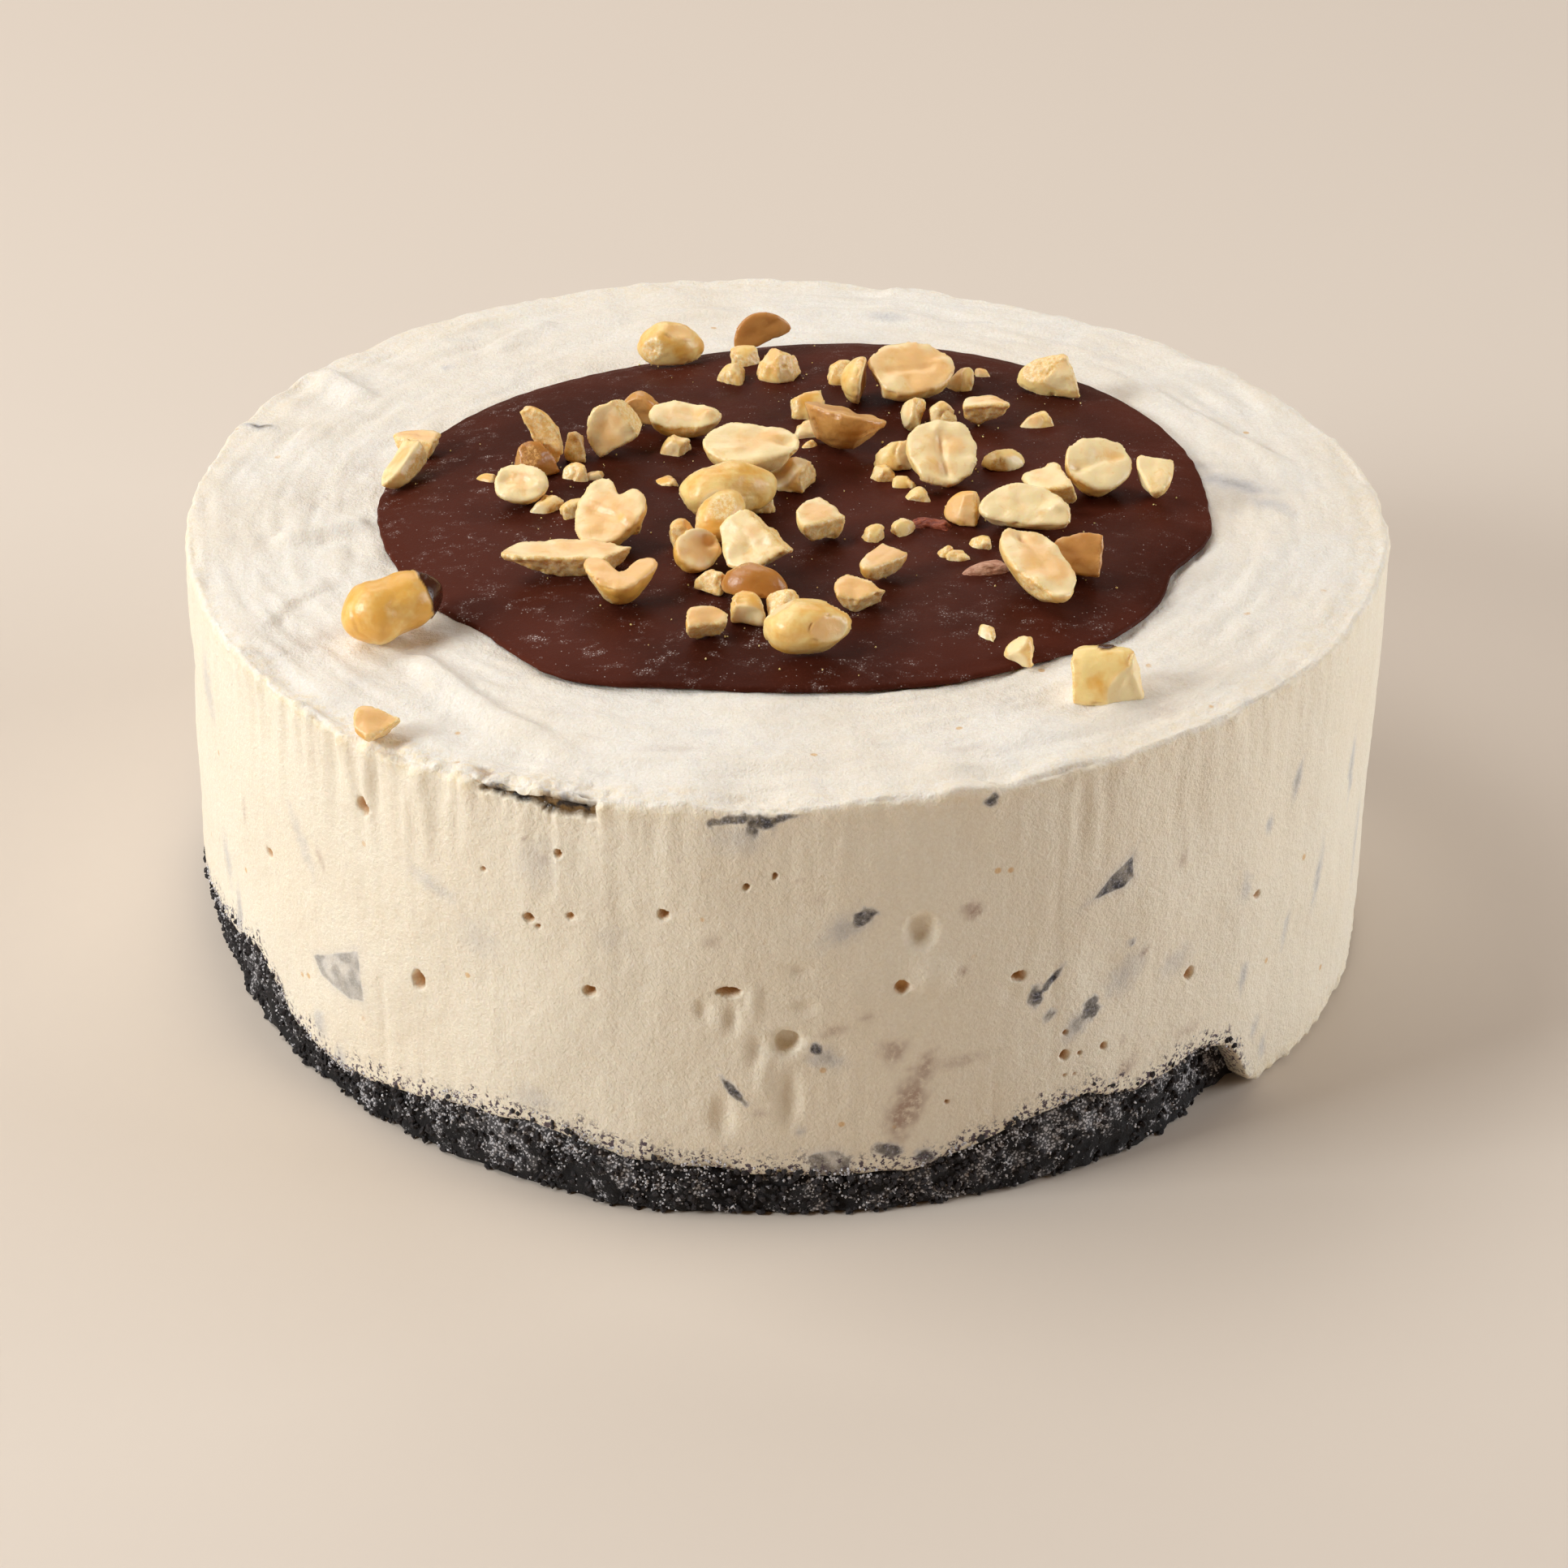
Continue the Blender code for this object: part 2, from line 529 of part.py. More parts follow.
def landing_height(points, faces, heap, tree):
    """How far down the raised piece falls, straight, before it is a gap away from the heap."""
    falls = []
    for point in points:
        distance = tree.ray_cast(point, Vector((0.0, 0.0, -1.0)))[3]
        if distance is not None:
            falls.append(distance)
    piece = BVHTree.FromPolygons(points, faces)
    low_x, high_x = min(p.x for p in points), max(p.x for p in points)
    low_y, high_y = min(p.y for p in points), max(p.y for p in points)
    for point in heap.points:
        if low_x < point.x < high_x and low_y < point.y < high_y:
            distance = piece.ray_cast(point, Vector((0.0, 0.0, 1.0)))[3]
            if distance is not None:
                falls.append(distance)
    return min(falls)


def settle(mesh, nut, heap):
    """The place where the nut comes to rest: the lowest spot near its own, clear of what is there."""
    turn = Euler([math.radians(value) for value in (nut.roll, nut.pitch, nut.turn)])
    spin = turn.to_matrix()
    swollen = [spin @ (vertex.co + vertex.normal * GAP * 1.3) for vertex in mesh.vertices]
    faces = [list(face.vertices) for face in mesh.polygons]
    tree = heap.tree()
    best = None
    for nudge in NUDGES:
        for part in range(8 if nudge else 1):
            angle = math.radians(45.0 * part)
            x = (nut.x + nudge * math.cos(angle)) * MM
            y = (nut.y + nudge * math.sin(angle)) * MM
            raised = Vector((x, y, CAKE_HEIGHT + DROP_HEIGHT))
            fall = landing_height([point + raised for point in swollen], faces, heap, tree)
            height = raised.z - fall
            cost = height + nudge * NUDGE_COST * MM
            if best is None or cost < best[0]:
                best = (cost, Vector((x, y, height)))
    place = best[1]
    while True:
        moved = [point + place for point in swollen]
        if not BVHTree.FromPolygons(moved, faces).overlap(tree):
            return place, turn
        place.z += LIFT_STEP


def make_nuts(carriers, materials):
    heap = Heap(carriers)
    for index, nut in enumerate(NUTS):
        size = (nut.length, nut.width, nut.height)
        mesh = peanut_mesh(nut.name, nut.form, size, NUT_SIDES, NUT_RINGS, index + 50)
        place, turn = settle(mesh, nut, heap)
        piece = add_object(nut.name, mesh, materials[nut.name in ROASTED])
        piece.location = place
        piece.rotation_euler = turn
        heap.add(mesh, place, turn)


def main():
    clear_scene()
    peanut = make_material("peanut", (0.80, 0.56, 0.25), 0.45)
    roasted = make_material("roasted_peanut", (0.55, 0.27, 0.08), 0.5)
    make_crust()
    ice_cream = make_ice_cream()
    ganache = make_ganache(peanut)
    make_nuts((ice_cream, ganache), (peanut, roasted))


main()
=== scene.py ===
import math
import random
from collections import namedtuple

import bmesh
import bpy
import numpy as np
from mathutils import Euler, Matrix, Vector, noise
from mathutils.bvhtree import BVHTree


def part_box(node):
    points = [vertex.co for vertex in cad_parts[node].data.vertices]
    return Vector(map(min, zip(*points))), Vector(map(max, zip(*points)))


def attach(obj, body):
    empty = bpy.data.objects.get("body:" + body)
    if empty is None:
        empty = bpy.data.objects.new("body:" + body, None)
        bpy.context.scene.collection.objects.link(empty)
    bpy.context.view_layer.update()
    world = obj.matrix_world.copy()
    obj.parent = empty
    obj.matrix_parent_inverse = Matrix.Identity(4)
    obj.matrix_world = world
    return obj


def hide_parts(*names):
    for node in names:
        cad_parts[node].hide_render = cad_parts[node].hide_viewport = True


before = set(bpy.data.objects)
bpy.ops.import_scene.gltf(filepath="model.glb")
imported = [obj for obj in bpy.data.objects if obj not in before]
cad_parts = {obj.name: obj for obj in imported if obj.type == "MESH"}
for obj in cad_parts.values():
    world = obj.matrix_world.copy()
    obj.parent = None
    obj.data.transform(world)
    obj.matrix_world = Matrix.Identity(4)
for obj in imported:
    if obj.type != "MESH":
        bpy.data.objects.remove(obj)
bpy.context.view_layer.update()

MM = 0.001

# Seeds of the random draws: for the nuts and all noise, for the crumbs and for the dust.
SEED = 3
CRUMB_SEED = 11
DUST_SEED = 23

# Driving sizes, as in the part's source. Angles run anticlockwise from +X, and the front is at 270 degrees.
CAKE_RADIUS = 101.5 * MM
CAKE_HEIGHT = 73.0 * MM
TOP_SLOPE_X = 0.024
TOP_SLOPE_Y = -0.014
# The cake is a little oval and a little three-sided, as shares of its radius, each pointing at its angle.
OVAL = 0.019
OVAL_ANGLE = 134
THREE_SIDED = 0.0135
THREE_SIDED_ANGLE = 4
GAP = 0.3 * MM
# The crust, the height of its torn top edge where it shows, and how far it stands back from the ice cream, as
# angles and millimetres.
CRUST_INNER_HEIGHT = 8.0 * MM
CRUST_TOP_LINE = (
    (190, 9.0), (205, 13.0), (212, 16.0), (218, 8.0), (226, 6.0), (240, 10.0), (248, 11.5), (258, 8.5),
    (268, 7.5), (276, 6.5), (284, 6.5), (292, 11.0), (300, 14.0), (305, 11.0), (313, 14.0), (320, 9.0),
)
CRUST_SETBACK = (
    (0, 4.5), (22, 4.5), (34, 1.0), (180, 1.0), (200, 2.5), (226, 1.5), (246, 0.2), (258, -1.2),
    (270, 0.0), (300, 0.3), (310, 1.5), (317, 4.5), (360, 4.5),
)
CRUST_EDGE = 1.5 * MM
CRUST_ROUGHNESS = 0.6 * MM
# The ice cream runs down over the crust between these angles, at the right of the cake.
COVER_START = 317
COVER_END = 382
COVER_RAMP = 5
FOOT_CLEARANCE = 0.45 * MM
RIM_RELIEF = 0.9 * MM
SIDE_RELIEF = 0.55 * MM
WORN_RIM_ANGLE = 232
WORN_RIM_WIDTH = 26
WORN_RIM_DEPTH = 1.4 * MM
# The chocolate cap. Its outline is a circle with a lobe wherever the pour ran out or stopped short, as
# (angle, reach in millimetres, half width in degrees).
GANACHE_CENTRE = (2.7 * MM, -0.2 * MM)
GANACHE_RADIUS = 68.8 * MM
GANACHE_LOBES = (
    (34, 2.6, 42), (112, -4.0, 26), (178, 1.6, 15), (222, -1.5, 6), (240, 2.4, 8), (256, -1.0, 7),
    (271, -2.4, 16), (317, 1.5, 9), (328, 1.0, 20), (337, -2.2, 6), (351, 1.0, 6),
)
GANACHE_THICKNESS = 3.4 * MM
# How thick the pour is at each distance in from its edge, in millimetres: it runs out thin.
GANACHE_TOP_LINE = ((0.4, 0.95), (3.0, 1.7), (8.0, 2.5), (14.0, 3.1), (26.0, 3.4))
GANACHE_RIPPLE = 0.35 * MM
BIT_SINK = 1.2 * MM
NUT_NARROWING = 0.12
# Notches in the long side, as (depth, half width), and how much fuller than an oval a whole nut is.
NOTCHES = {"vee": (0.85, 0.4), "heart": (0.4, 0.25)}
WHOLE_FULLNESS = 0.16

# For the looks alone: how far the crumbs of nut are raised, and how uneven the nuts are.
BIT_RISE = 0.6 * MM
NUT_UNEVENNESS = 0.035

# Chopped peanuts, as in the part's source: name, form, size (length, width, height), turn, pitch and roll.
Nut = namedtuple("Nut", "name form length width height turn pitch roll")
NUTS = (
    Nut("whole_peanut", "whole", 17, 11, 10, 28, -10, 0),
    Nut("rim_pair_tall", "tip", 10.5, 5, 4, 60, -25, 150),
    Nut("rim_pair_flat", "quarter", 7.5, 5, 3, -15, 0, 180),
    Nut("back_half", "half", 12, 8.5, 5.5, 10, 0, 20),
    Nut("back_crescent", "crescent", 11, 6, 4, 15, -20, -100),
    Nut("back_block", "block", 7, 7, 4.5, -25, 0, 0),
    Nut("brown_crescent", "crescent", 8.5, 6.5, 4, -10, 0, -70),
    Nut("boat", "half", 12.5, 6.5, 4.5, -5, 0, 200),
    Nut("upright_wedge", "wedge", 9, 10.5, 5.5, -10, 10, -100),
    Nut("brown_block", "block", 7, 6, 5, 30, 0, 0),
    Nut("upright_strip", "strip", 11, 5, 4, 150, -60, 0),
    Nut("left_block", "block", 3.6, 4.4, 4.5, 0, 0, 0),
    Nut("germ_half_left", "half", 9, 7, 4, -15, 0, 215),
    Nut("long_wedge", "spear", 21.5, 7.5, 4, 5, 0, 180),
    Nut("heart_half", "heart", 11.5, 12.5, 6, -30, 0, 215),
    Nut("vee", "vee", 11.5, 8.5, 5.5, 0, 0, 190),
    Nut("pile_block_low", "block", 6.5, 5, 3.5, 0, 0, 0),
    Nut("pile_chip", "block", 4, 5, 5, 20, 0, 0),
    Nut("pile_block_front", "block", 6, 5, 4.5, -10, 0, 0),
    Nut("pile_block_mid", "block", 5.5, 6, 5, 15, 0, 0),
    Nut("pile_corner", "block", 5, 4.5, 3.5, -30, 0, 0),
    Nut("pile_tip", "tip", 7.5, 6.5, 4.5, -20, 0, 0),
    Nut("pile_germ_half", "half", 9, 7, 4.5, 50, 0, 220),
    Nut("pile_long_half", "half", 17, 10.5, 5.5, 25, 0, 25),
    Nut("pile_triangle", "wedge", 12.5, 10, 6, -25, 0, 230),
    Nut("pile_brown_top", "half", 10.5, 7, 4, -15, 0, 0),
    Nut("pile_big_curved", "half", 14, 8.5, 6, 8, 0, 60),
    Nut("pile_ragged_top", "half", 16, 10.5, 5, 5, 0, 195),
    Nut("pile_leaf", "half", 10.5, 7.5, 4, 60, -30, 0),
    Nut("front_sliver", "strip", 7, 4.5, 4, 25, 0, 200),
    Nut("mid_block", "block", 6.5, 5, 4, 0, 0, 0),
    Nut("brown_spear", "spear", 14.5, 9, 6.5, 147, 0, 200),
    Nut("back_tip", "tip", 5, 5, 3.5, 20, 0, 0),
    Nut("germ_half_back", "half", 15, 11.5, 5.5, 20, 0, 205),
    Nut("side_on_half", "half", 8.5, 8, 3.5, 80, 0, -85),
    Nut("pale_block", "block", 4.5, 5.5, 4, 10, 0, 0),
    Nut("back_dome", "tip", 11, 7.5, 5.5, -5, 0, 15),
    Nut("right_strip", "strip", 8, 4.5, 4, 5, 0, 180),
    Nut("pale_tip", "tip", 6, 4, 3.5, 80, -30, 0),
    Nut("grooved_half", "half", 13, 12, 5.5, -78, 30, 180),
    Nut("mid_tip", "tip", 6.5, 5.5, 4.5, 10, 0, 0),
    Nut("green_strip", "strip", 7.5, 4, 3, 15, 0, 0),
    Nut("peach_half", "half", 11.5, 10.5, 5.5, 25, 0, 210),
    Nut("right_tip", "tip", 8, 6, 5, 85, -25, 180),
    Nut("right_wedge", "wedge", 9.5, 7, 5, -40, 0, 200),
    Nut("centre_tip", "tip", 6.5, 5.5, 5, -20, 0, 0),
    Nut("bean", "bean", 15.5, 7.5, 5.5, -15, 0, 215),
    Nut("centre_quarter", "quarter", 8, 7, 4, 40, 0, 195),
    Nut("centre_oval", "tip", 9, 5, 4, 55, 0, 190),
    Nut("brown_tip", "tip", 8.5, 7, 5.5, -10, 0, 230),
    Nut("germ_half_front", "half", 18, 9.5, 5.5, -62, 14, 180),
    Nut("front_wedge", "wedge", 8, 5.5, 4, 0, 0, 200),
    Nut("rim_flake", "wedge", 7.5, 6, 4, 10, 0, 205),
    Nut("rim_chunk", "block", 11.5, 8.5, 7.5, -5, 0, 0),
)
ROASTED = ("brown_crescent", "brown_block", "brown_spear", "brown_tip", "pile_brown_top", "back_crescent")

# Crumbs of nut stuck in the chocolate: place (x, y), size (length, width, height), turn in degrees.
NUT_BITS = (
    (-6, 54, 5.5, 4.5, 4, 20), (-8.5, 45.5, 5, 5, 4, -10), (-17.5, 15, 5.5, 5, 4, 30),
    (-34, 5, 5, 4.5, 3.5, -20), (-49.5, 5, 4, 2.5, 2, -20), (-38.5, -7, 6.5, 4.5, 3, 10),
    (-33.5, -9.5, 5.5, 3.5, 3.5, 25), (-31.5, 4.5, 4.5, 2.5, 2, 10), (-18.5, 2.5, 5.5, 3.5, 1.8, -40),
    (5, 21.5, 4.5, 4, 3.5, 0), (5.5, 16.5, 3.5, 2.5, 2, 35), (32.5, 41.5, 5, 5, 4.5, 60),
    (36.5, 47.5, 3, 3, 2, 0), (45, 25, 6, 3.5, 3, 25), (18.5, 4, 5, 4.5, 3.5, -30),
    (21.5, 1, 4, 3, 2.2, 0), (23.5, -4, 4, 4, 2.8, 10), (16, -19.5, 4.5, 4, 3.5, 20),
    (21, -17, 4, 3, 3, 40), (25.5, -15, 8, 2.6, 1.6, -18), (27.5, -25.5, 4, 3, 2, 50),
    (29.5, -27, 4, 2.8, 2, 20), (34, -32, 8, 3, 1.8, 18), (34, -22, 4.5, 3.5, 2.5, -50),
    (34, -52.5, 3.8, 3, 2, -30), (38.5, -57, 4.8, 4.6, 3.6, 0),
)
SKIN_SLIVER = 19
SKIN_FLAKE = 22

# Flat breaks of the forms that have any: turn and lean in degrees, and distance from the middle, as a share
# of the half size.
FORM_CUTS = {
    "tip": ((0, 12, 0.15),),
    "block": ((6, 8, 0.35), (172, -10, 0.45)),
    "quarter": ((4, 8, 0.2), (95, -5, 0.15)),
    "wedge": ((38, 14, 0.25), (-44, -8, 0.2)),
    "spear": ((20, 6, 0.5), (100, 22, 0.2)),
    "strip": ((92, 18, 0.05),),
}
# How far the bent forms curve to one side, or to the other with a minus.
FORM_BEND = {"crescent": 0.75, "bean": 0.45, "vee": -0.8, "heart": -0.25}

# Which end of a split half keeps its germ, 1 for a nub and -1 for the empty socket, as (end, kind).
GERMS = {
    "germ_half_left": (1, 1), "germ_half_back": (1, 1), "germ_half_front": (-1, -1),
    "pile_germ_half": (1, -1), "heart_half": (1, 1), "grooved_half": (-1, 1), "peach_half": (-1, -1),
    "boat": (1, 1), "pile_ragged_top": (1, -1), "bean": (1, 1),
}
# Depth of the groove down a split face, in millimetres, where one shows.
GROOVES = {
    "grooved_half": 0.55, "germ_half_back": 0.4, "peach_half": 0.25, "germ_half_left": 0.4, "heart_half": 0.2,
}
# Nuts that chocolate clings to: the middle of the patch, as a share of the nut's half size, and its reach.
DIPS = {"whole_peanut": ((1.0, -0.05, 0.0), 5.2), "rim_chunk": ((-0.1, 0.35, 1.0), 1.5)}
# Nuts whose tone, from pale at 0 to golden at 1, isn't left to chance.
TONES = {"whole_peanut": 0.62, "rim_chunk": 0.36, "back_dome": 0.36, "back_half": 0.5, "pile_leaf": 0.5}
# Chips knocked off each form: how many, and how much of the nut they leave, as shares of its half size.
FACETS = {
    "whole": (0, 1.0, 1.0), "half": (2, 0.86, 0.94), "block": (5, 0.68, 0.86), "wedge": (4, 0.76, 0.9),
    "tip": (4, 0.78, 0.92), "quarter": (4, 0.74, 0.9), "spear": (3, 0.8, 0.92), "strip": (3, 0.8, 0.92),
}
# Kinds of face on a nut. Kind 0 is its own rounded outside.
INNER = 1
BROKEN = 2
NUT_SIDES = 44
NUT_RINGS = 30
NUT_VOXEL = 0.32 * MM
BIT_VOXEL = 0.25 * MM
NUT_SWELL = 0.15 * MM

# Fineness of the ice cream's grid: columns in degrees at the front and at the back, and rows in each stretch.
FRONT_COLUMNS = (195.0, 340.0, 0.42)
BACK_COLUMNS = (340.0, 555.0, 0.8)
SIDE_ROWS = 88
RIM_ROWS = 8
TOP_ROWS = 52
MIDDLE_ROWS = 8
# The rounding of the rim, the radius inside which the top needs no fine rows, and where the top's unevenness
# starts and is full.
RIM_ROUND = 1.3 * MM
TOP_FINE_RADIUS = 57.0 * MM
RELIEF_FADE = (78.5 * MM, 97.0 * MM)
# The skin, which takes all relief and stains, lies outside this radius or above this height. The torn foot
# and the finer grid have radii of their own, and the tearing of the rim starts and is full at RIM_START.
SKIN_RADIUS = 94.5 * MM
SKIN_HEIGHT = 60.0 * MM
FOOT_RADIUS = 94.0 * MM
DETAIL_RADIUS = 90.0 * MM
RIM_START = (94.5 * MM, 98.5 * MM)
# How far beyond a hole or stain the finer grid reaches, in millimetres, and how strong such a stain is.
DETAIL_MARGIN = 0.9
STRONG_STAIN = 0.7

# Air holes in the side: angle, height, width, tall size and depth, in degrees and millimetres.
HOLES = (
    (251.4, 62.5, 1.3, 1.9, 1.4), (244.2, 56.7, 0.9, 1.0, 0.8), (248.6, 50.1, 2.0, 1.7, 1.5),
    (249.5, 48.9, 0.9, 1.0, 0.8), (252.5, 51.9, 1.3, 1.3, 0.8), (260.8, 54.5, 2.0, 2.0, 1.7),
    (236.8, 31.8, 2.6, 3.8, 2.2), (254.2, 39.1, 2.2, 2.0, 1.7), (266.5, 41.5, 4.2, 2.0, 2.6),
    (230.6, 59.3, 3.0, 3.6, 1.8), (215.2, 38.5, 2.2, 1.8, 1.0), (267.9, 60.5, 1.2, 1.3, 1.5),
    (270.3, 62.5, 1.0, 1.3, 1.2), (292.2, 40.3, 2.8, 1.9, 1.9), (297.0, 23.7, 1.9, 2.1, 1.6),
    (301.1, 23.1, 1.4, 1.6, 1.2), (310.9, 30.2, 2.0, 2.6, 1.6), (319.2, 39.0, 1.7, 1.6, 1.2),
    (281.5, 41.6, 2.8, 2.6, 1.3), (298.6, 23.2, 0.8, 0.9, 0.8), (285.8, 19.4, 0.9, 0.9, 0.7),
    (297.2, 19.6, 0.7, 0.7, 0.6), (298.2, 19.4, 0.6, 0.6, 0.5), (297.0, 27.9, 1.0, 1.2, 0.9),
    (40, 38, 2.2, 2.0, 1.6), (63, 52, 1.6, 1.8, 1.4), (88, 27, 2.8, 2.2, 1.8), (104, 58, 1.4, 1.4, 1.2),
    (127, 42, 2.4, 1.9, 1.7), (149, 30, 1.8, 2.0, 1.4), (171, 55, 1.7, 2.2, 1.5), (14, 48, 1.5, 1.6, 1.2),
)

# Soft dents and swellings: angle, height, width, tall size, depth (minus for a swelling), and how wide the
# slope is. The first two are small and deep enough to need the finer grid.
DENTS = (
    (283.0, 51.4, 6.0, 7.4, 1.7, 0.75), (271.6, 32.4, 4.4, 4.4, 2.6, 0.5),
    (284.2, 43.2, 9.0, 9.0, -0.8, 0.9), (272.7, 45.4, 4.5, 3.0, 0.7, 1.0),
    (273.1, 38.9, 5.5, 3.0, 0.6, 1.0), (264.2, 37.8, 3.0, 5.0, 0.7, 0.9),
    (266.8, 36.5, 2.6, 7.0, 0.8, 0.9), (268.9, 30.8, 3.6, 7.0, 0.7, 0.9),
    (271.9, 22.0, 4.2, 13.0, 0.9, 0.8), (266.0, 18.3, 4.4, 10.0, 0.8, 0.8),
    (269.5, 26.0, 3.0, 10.0, -0.5, 0.9), (268.6, 40.5, 2.2, 9.0, -0.6, 0.9),
    (291.5, 37.5, 4.0, 5.0, 0.4, 1.0), (301, 36, 11, 18, 0.4, 1.0), (255, 45, 14, 22, -0.35, 1.0),
    (112, 44, 6, 7, 1.2, 0.8), (58, 33, 5, 9, 0.8, 0.9), (156, 47, 7, 6, 1.0, 0.8),
)
SHARP_DENTS = 2

# Fine upright creases where a knife or ring dragged: angle, lowest and highest point, width, depth.
CREASES = (
    (232.3, 2, 30, 1.0, 0.35), (295.6, 21, 77, 0.9, 0.22), (290.4, 12, 26, 0.9, 0.15),
    (250.8, 55, 71, 1.4, 0.35),
)

# Stains in the side, by kind: angle, height, half length, half width, tilt from level, softness, strength.
STAINS = {
    "chocolate": (
        (277.8, 54.8, 2.2, 1.3, 40, 0.5, 1.0), (276.6, 53.2, 4.2, 2.4, 35, 1.0, 0.38),
        (293.9, 35.8, 1.3, 1.7, 0, 0.5, 0.9), (295.3, 38.0, 2.7, 0.7, 48, 0.5, 0.8),
        (295.4, 31.8, 1.2, 0.8, 20, 0.6, 0.55), (299.6, 31.0, 1.6, 1.9, -30, 0.4, 0.9),
        (298.4, 29.2, 3.6, 1.7, 45, 0.9, 0.45), (303.2, 35.2, 4.4, 2.6, 45, 1.0, 0.28),
        (303.6, 40.9, 0.5, 0.5, 0, 0.4, 0.7), (274.1, 31.2, 1.0, 1.1, 0, 0.5, 0.95),
        (275.0, 29.4, 3.2, 2.0, -20, 1.0, 0.4), (266.9, 23.4, 3.0, 0.7, -52, 0.5, 0.75),
        (280.8, 11.2, 2.0, 1.3, -20, 0.6, 0.8), (284.1, 8.9, 1.6, 1.9, 20, 0.7, 0.8),
        (269.0, 72.0, 2.0, 1.2, -10, 0.5, 1.0), (266.6, 72.2, 3.4, 0.7, 12, 0.5, 0.9),
        (268.4, 70.8, 0.9, 1.6, 15, 0.7, 0.7), (270.8, 72.6, 2.4, 0.7, 10, 0.7, 0.75),
        (267.2, 69.2, 4.0, 3.0, 0, 1.0, 0.25), (288.9, 73.2, 1.3, 1.0, 0, 0.6, 1.0),
        (238.8, 50.8, 5.0, 1.5, -18, 1.0, 0.22), (248.9, 16.7, 3.6, 2.4, 0, 1.0, 0.22),
        (221.5, 46.5, 1.6, 5.5, 30, 1.0, 0.22), (243.6, 43.6, 3.0, 4.0, 30, 1.0, 0.14),
        (249.3, 60.0, 3.4, 4.2, 0, 1.0, 0.16), (256.1, 49.0, 2.5, 2.5, 0, 1.0, 0.12),
        (272.8, 15.7, 1.0, 1.0, 0, 0.9, 0.35), (309.0, 34.0, 3.5, 2.4, 20, 1.0, 0.22),
        (314.5, 12.5, 1.2, 1.2, 0, 0.9, 0.3), (318.3, 24.0, 1.0, 3.0, -8, 0.9, 0.38),
        (320.8, 12.0, 0.9, 2.0, -10, 0.9, 0.35), (317.5, 41.5, 1.5, 2.6, 0, 1.0, 0.28),
        (324.9, 27.0, 0.9, 3.6, -5, 1.0, 0.3), (330.4, 33.0, 1.4, 5.2, -4, 1.0, 0.4),
        (324.9, 55.5, 0.9, 3.2, -12, 0.9, 0.45), (320.8, 50.5, 1.0, 1.6, 0, 0.9, 0.4),
        (338.3, 46.0, 1.8, 5.4, -8, 1.0, 0.42), (343.0, 28.0, 2.2, 7.0, 0, 1.0, 0.25),
        (322.5, 6.5, 1.0, 2.2, 0, 0.9, 0.35), (200.5, 57.0, 3.0, 5.5, 20, 1.0, 0.3),
        (203.5, 26.0, 2.2, 4.5, 0, 1.0, 0.3), (206.5, 18.5, 1.6, 4.5, 0, 0.9, 0.4),
        (222.8, 12.5, 1.6, 2.8, 0, 0.9, 0.35), (226.0, 8.6, 1.3, 2.4, 0, 0.9, 0.3),
        (35, 44, 1.2, 3.8, 10, 0.8, 0.5), (52, 24, 3.6, 1.6, 40, 0.6, 0.8),
        (74, 52, 1.4, 2.4, -25, 0.6, 0.7), (79, 18, 2.4, 2.0, 0, 0.7, 0.7),
        (97, 40, 3.4, 1.2, -35, 0.6, 0.75), (118, 30, 1.8, 3.0, 15, 0.8, 0.5),
        (133, 54, 2.4, 1.2, 30, 0.6, 0.8), (141, 22, 3.0, 2.0, 60, 0.8, 0.5),
        (163, 38, 1.2, 3.8, 0, 0.9, 0.45), (178, 24, 2.0, 2.0, 0, 0.8, 0.55),
        (188, 46, 1.4, 4.4, 12, 0.9, 0.4), (5, 30, 1.4, 4.0, 0, 0.9, 0.4),
    ),
    "smear": (
        (287.6, 53.8, 2.0, 1.7, 10, 0.8, 0.6), (286.9, 43.0, 0.9, 1.1, 0, 0.9, 0.5),
        (280.9, 30.0, 2.6, 2.6, 30, 0.9, 0.5), (282.2, 19.6, 7.6, 3.2, 72, 0.8, 0.62),
        (283.8, 26.0, 4.4, 1.9, 80, 0.9, 0.5), (286.8, 26.6, 5.6, 1.3, 4, 1.0, 0.35),
        (275.6, 34.2, 3.0, 1.1, 20, 0.9, 0.35), (304.0, 17.3, 2.6, 1.6, 45, 1.0, 0.45),
        (278.5, 36.7, 1.3, 0.9, 0, 0.9, 0.4), (305.1, 38.2, 1.3, 0.7, 35, 0.8, 0.5),
        (269.3, 19.5, 1.3, 1.0, 0, 1.0, 0.35), (224.5, 45.0, 0.8, 2.6, 25, 0.9, 0.35),
        (210.5, 42.0, 0.8, 2.6, 0, 0.9, 0.3), (274.0, 58.5, 1.6, 1.6, 0, 1.0, 0.2),
        (311.0, 19.5, 3.0, 1.6, 0, 1.0, 0.3), (265.0, 50.6, 1.6, 1.8, 0, 1.0, 0.25),
        (272.4, 61.6, 0.7, 0.5, 0, 0.9, 0.5), (248.3, 64.1, 0.5, 0.5, 0, 0.8, 0.6),
        (262.1, 64.9, 0.6, 0.5, 0, 0.9, 0.5), (250.0, 61.2, 1.4, 1.2, 0, 1.0, 0.3),
        (303.3, 22.8, 0.5, 1.0, 0, 0.9, 0.4), (309.0, 53.0, 0.9, 1.6, 0, 1.0, 0.4),
        (45, 58, 3.0, 1.6, 0, 1.0, 0.4), (92, 58, 2.0, 3.0, 0, 1.0, 0.35),
        (108, 20, 3.4, 2.0, 60, 0.9, 0.5), (150, 60, 2.6, 1.4, 0, 1.0, 0.4),
        (20, 22, 1.4, 4.4, 0, 1.0, 0.3), (124, 46, 1.6, 3.0, 20, 1.0, 0.35),
    ),
}
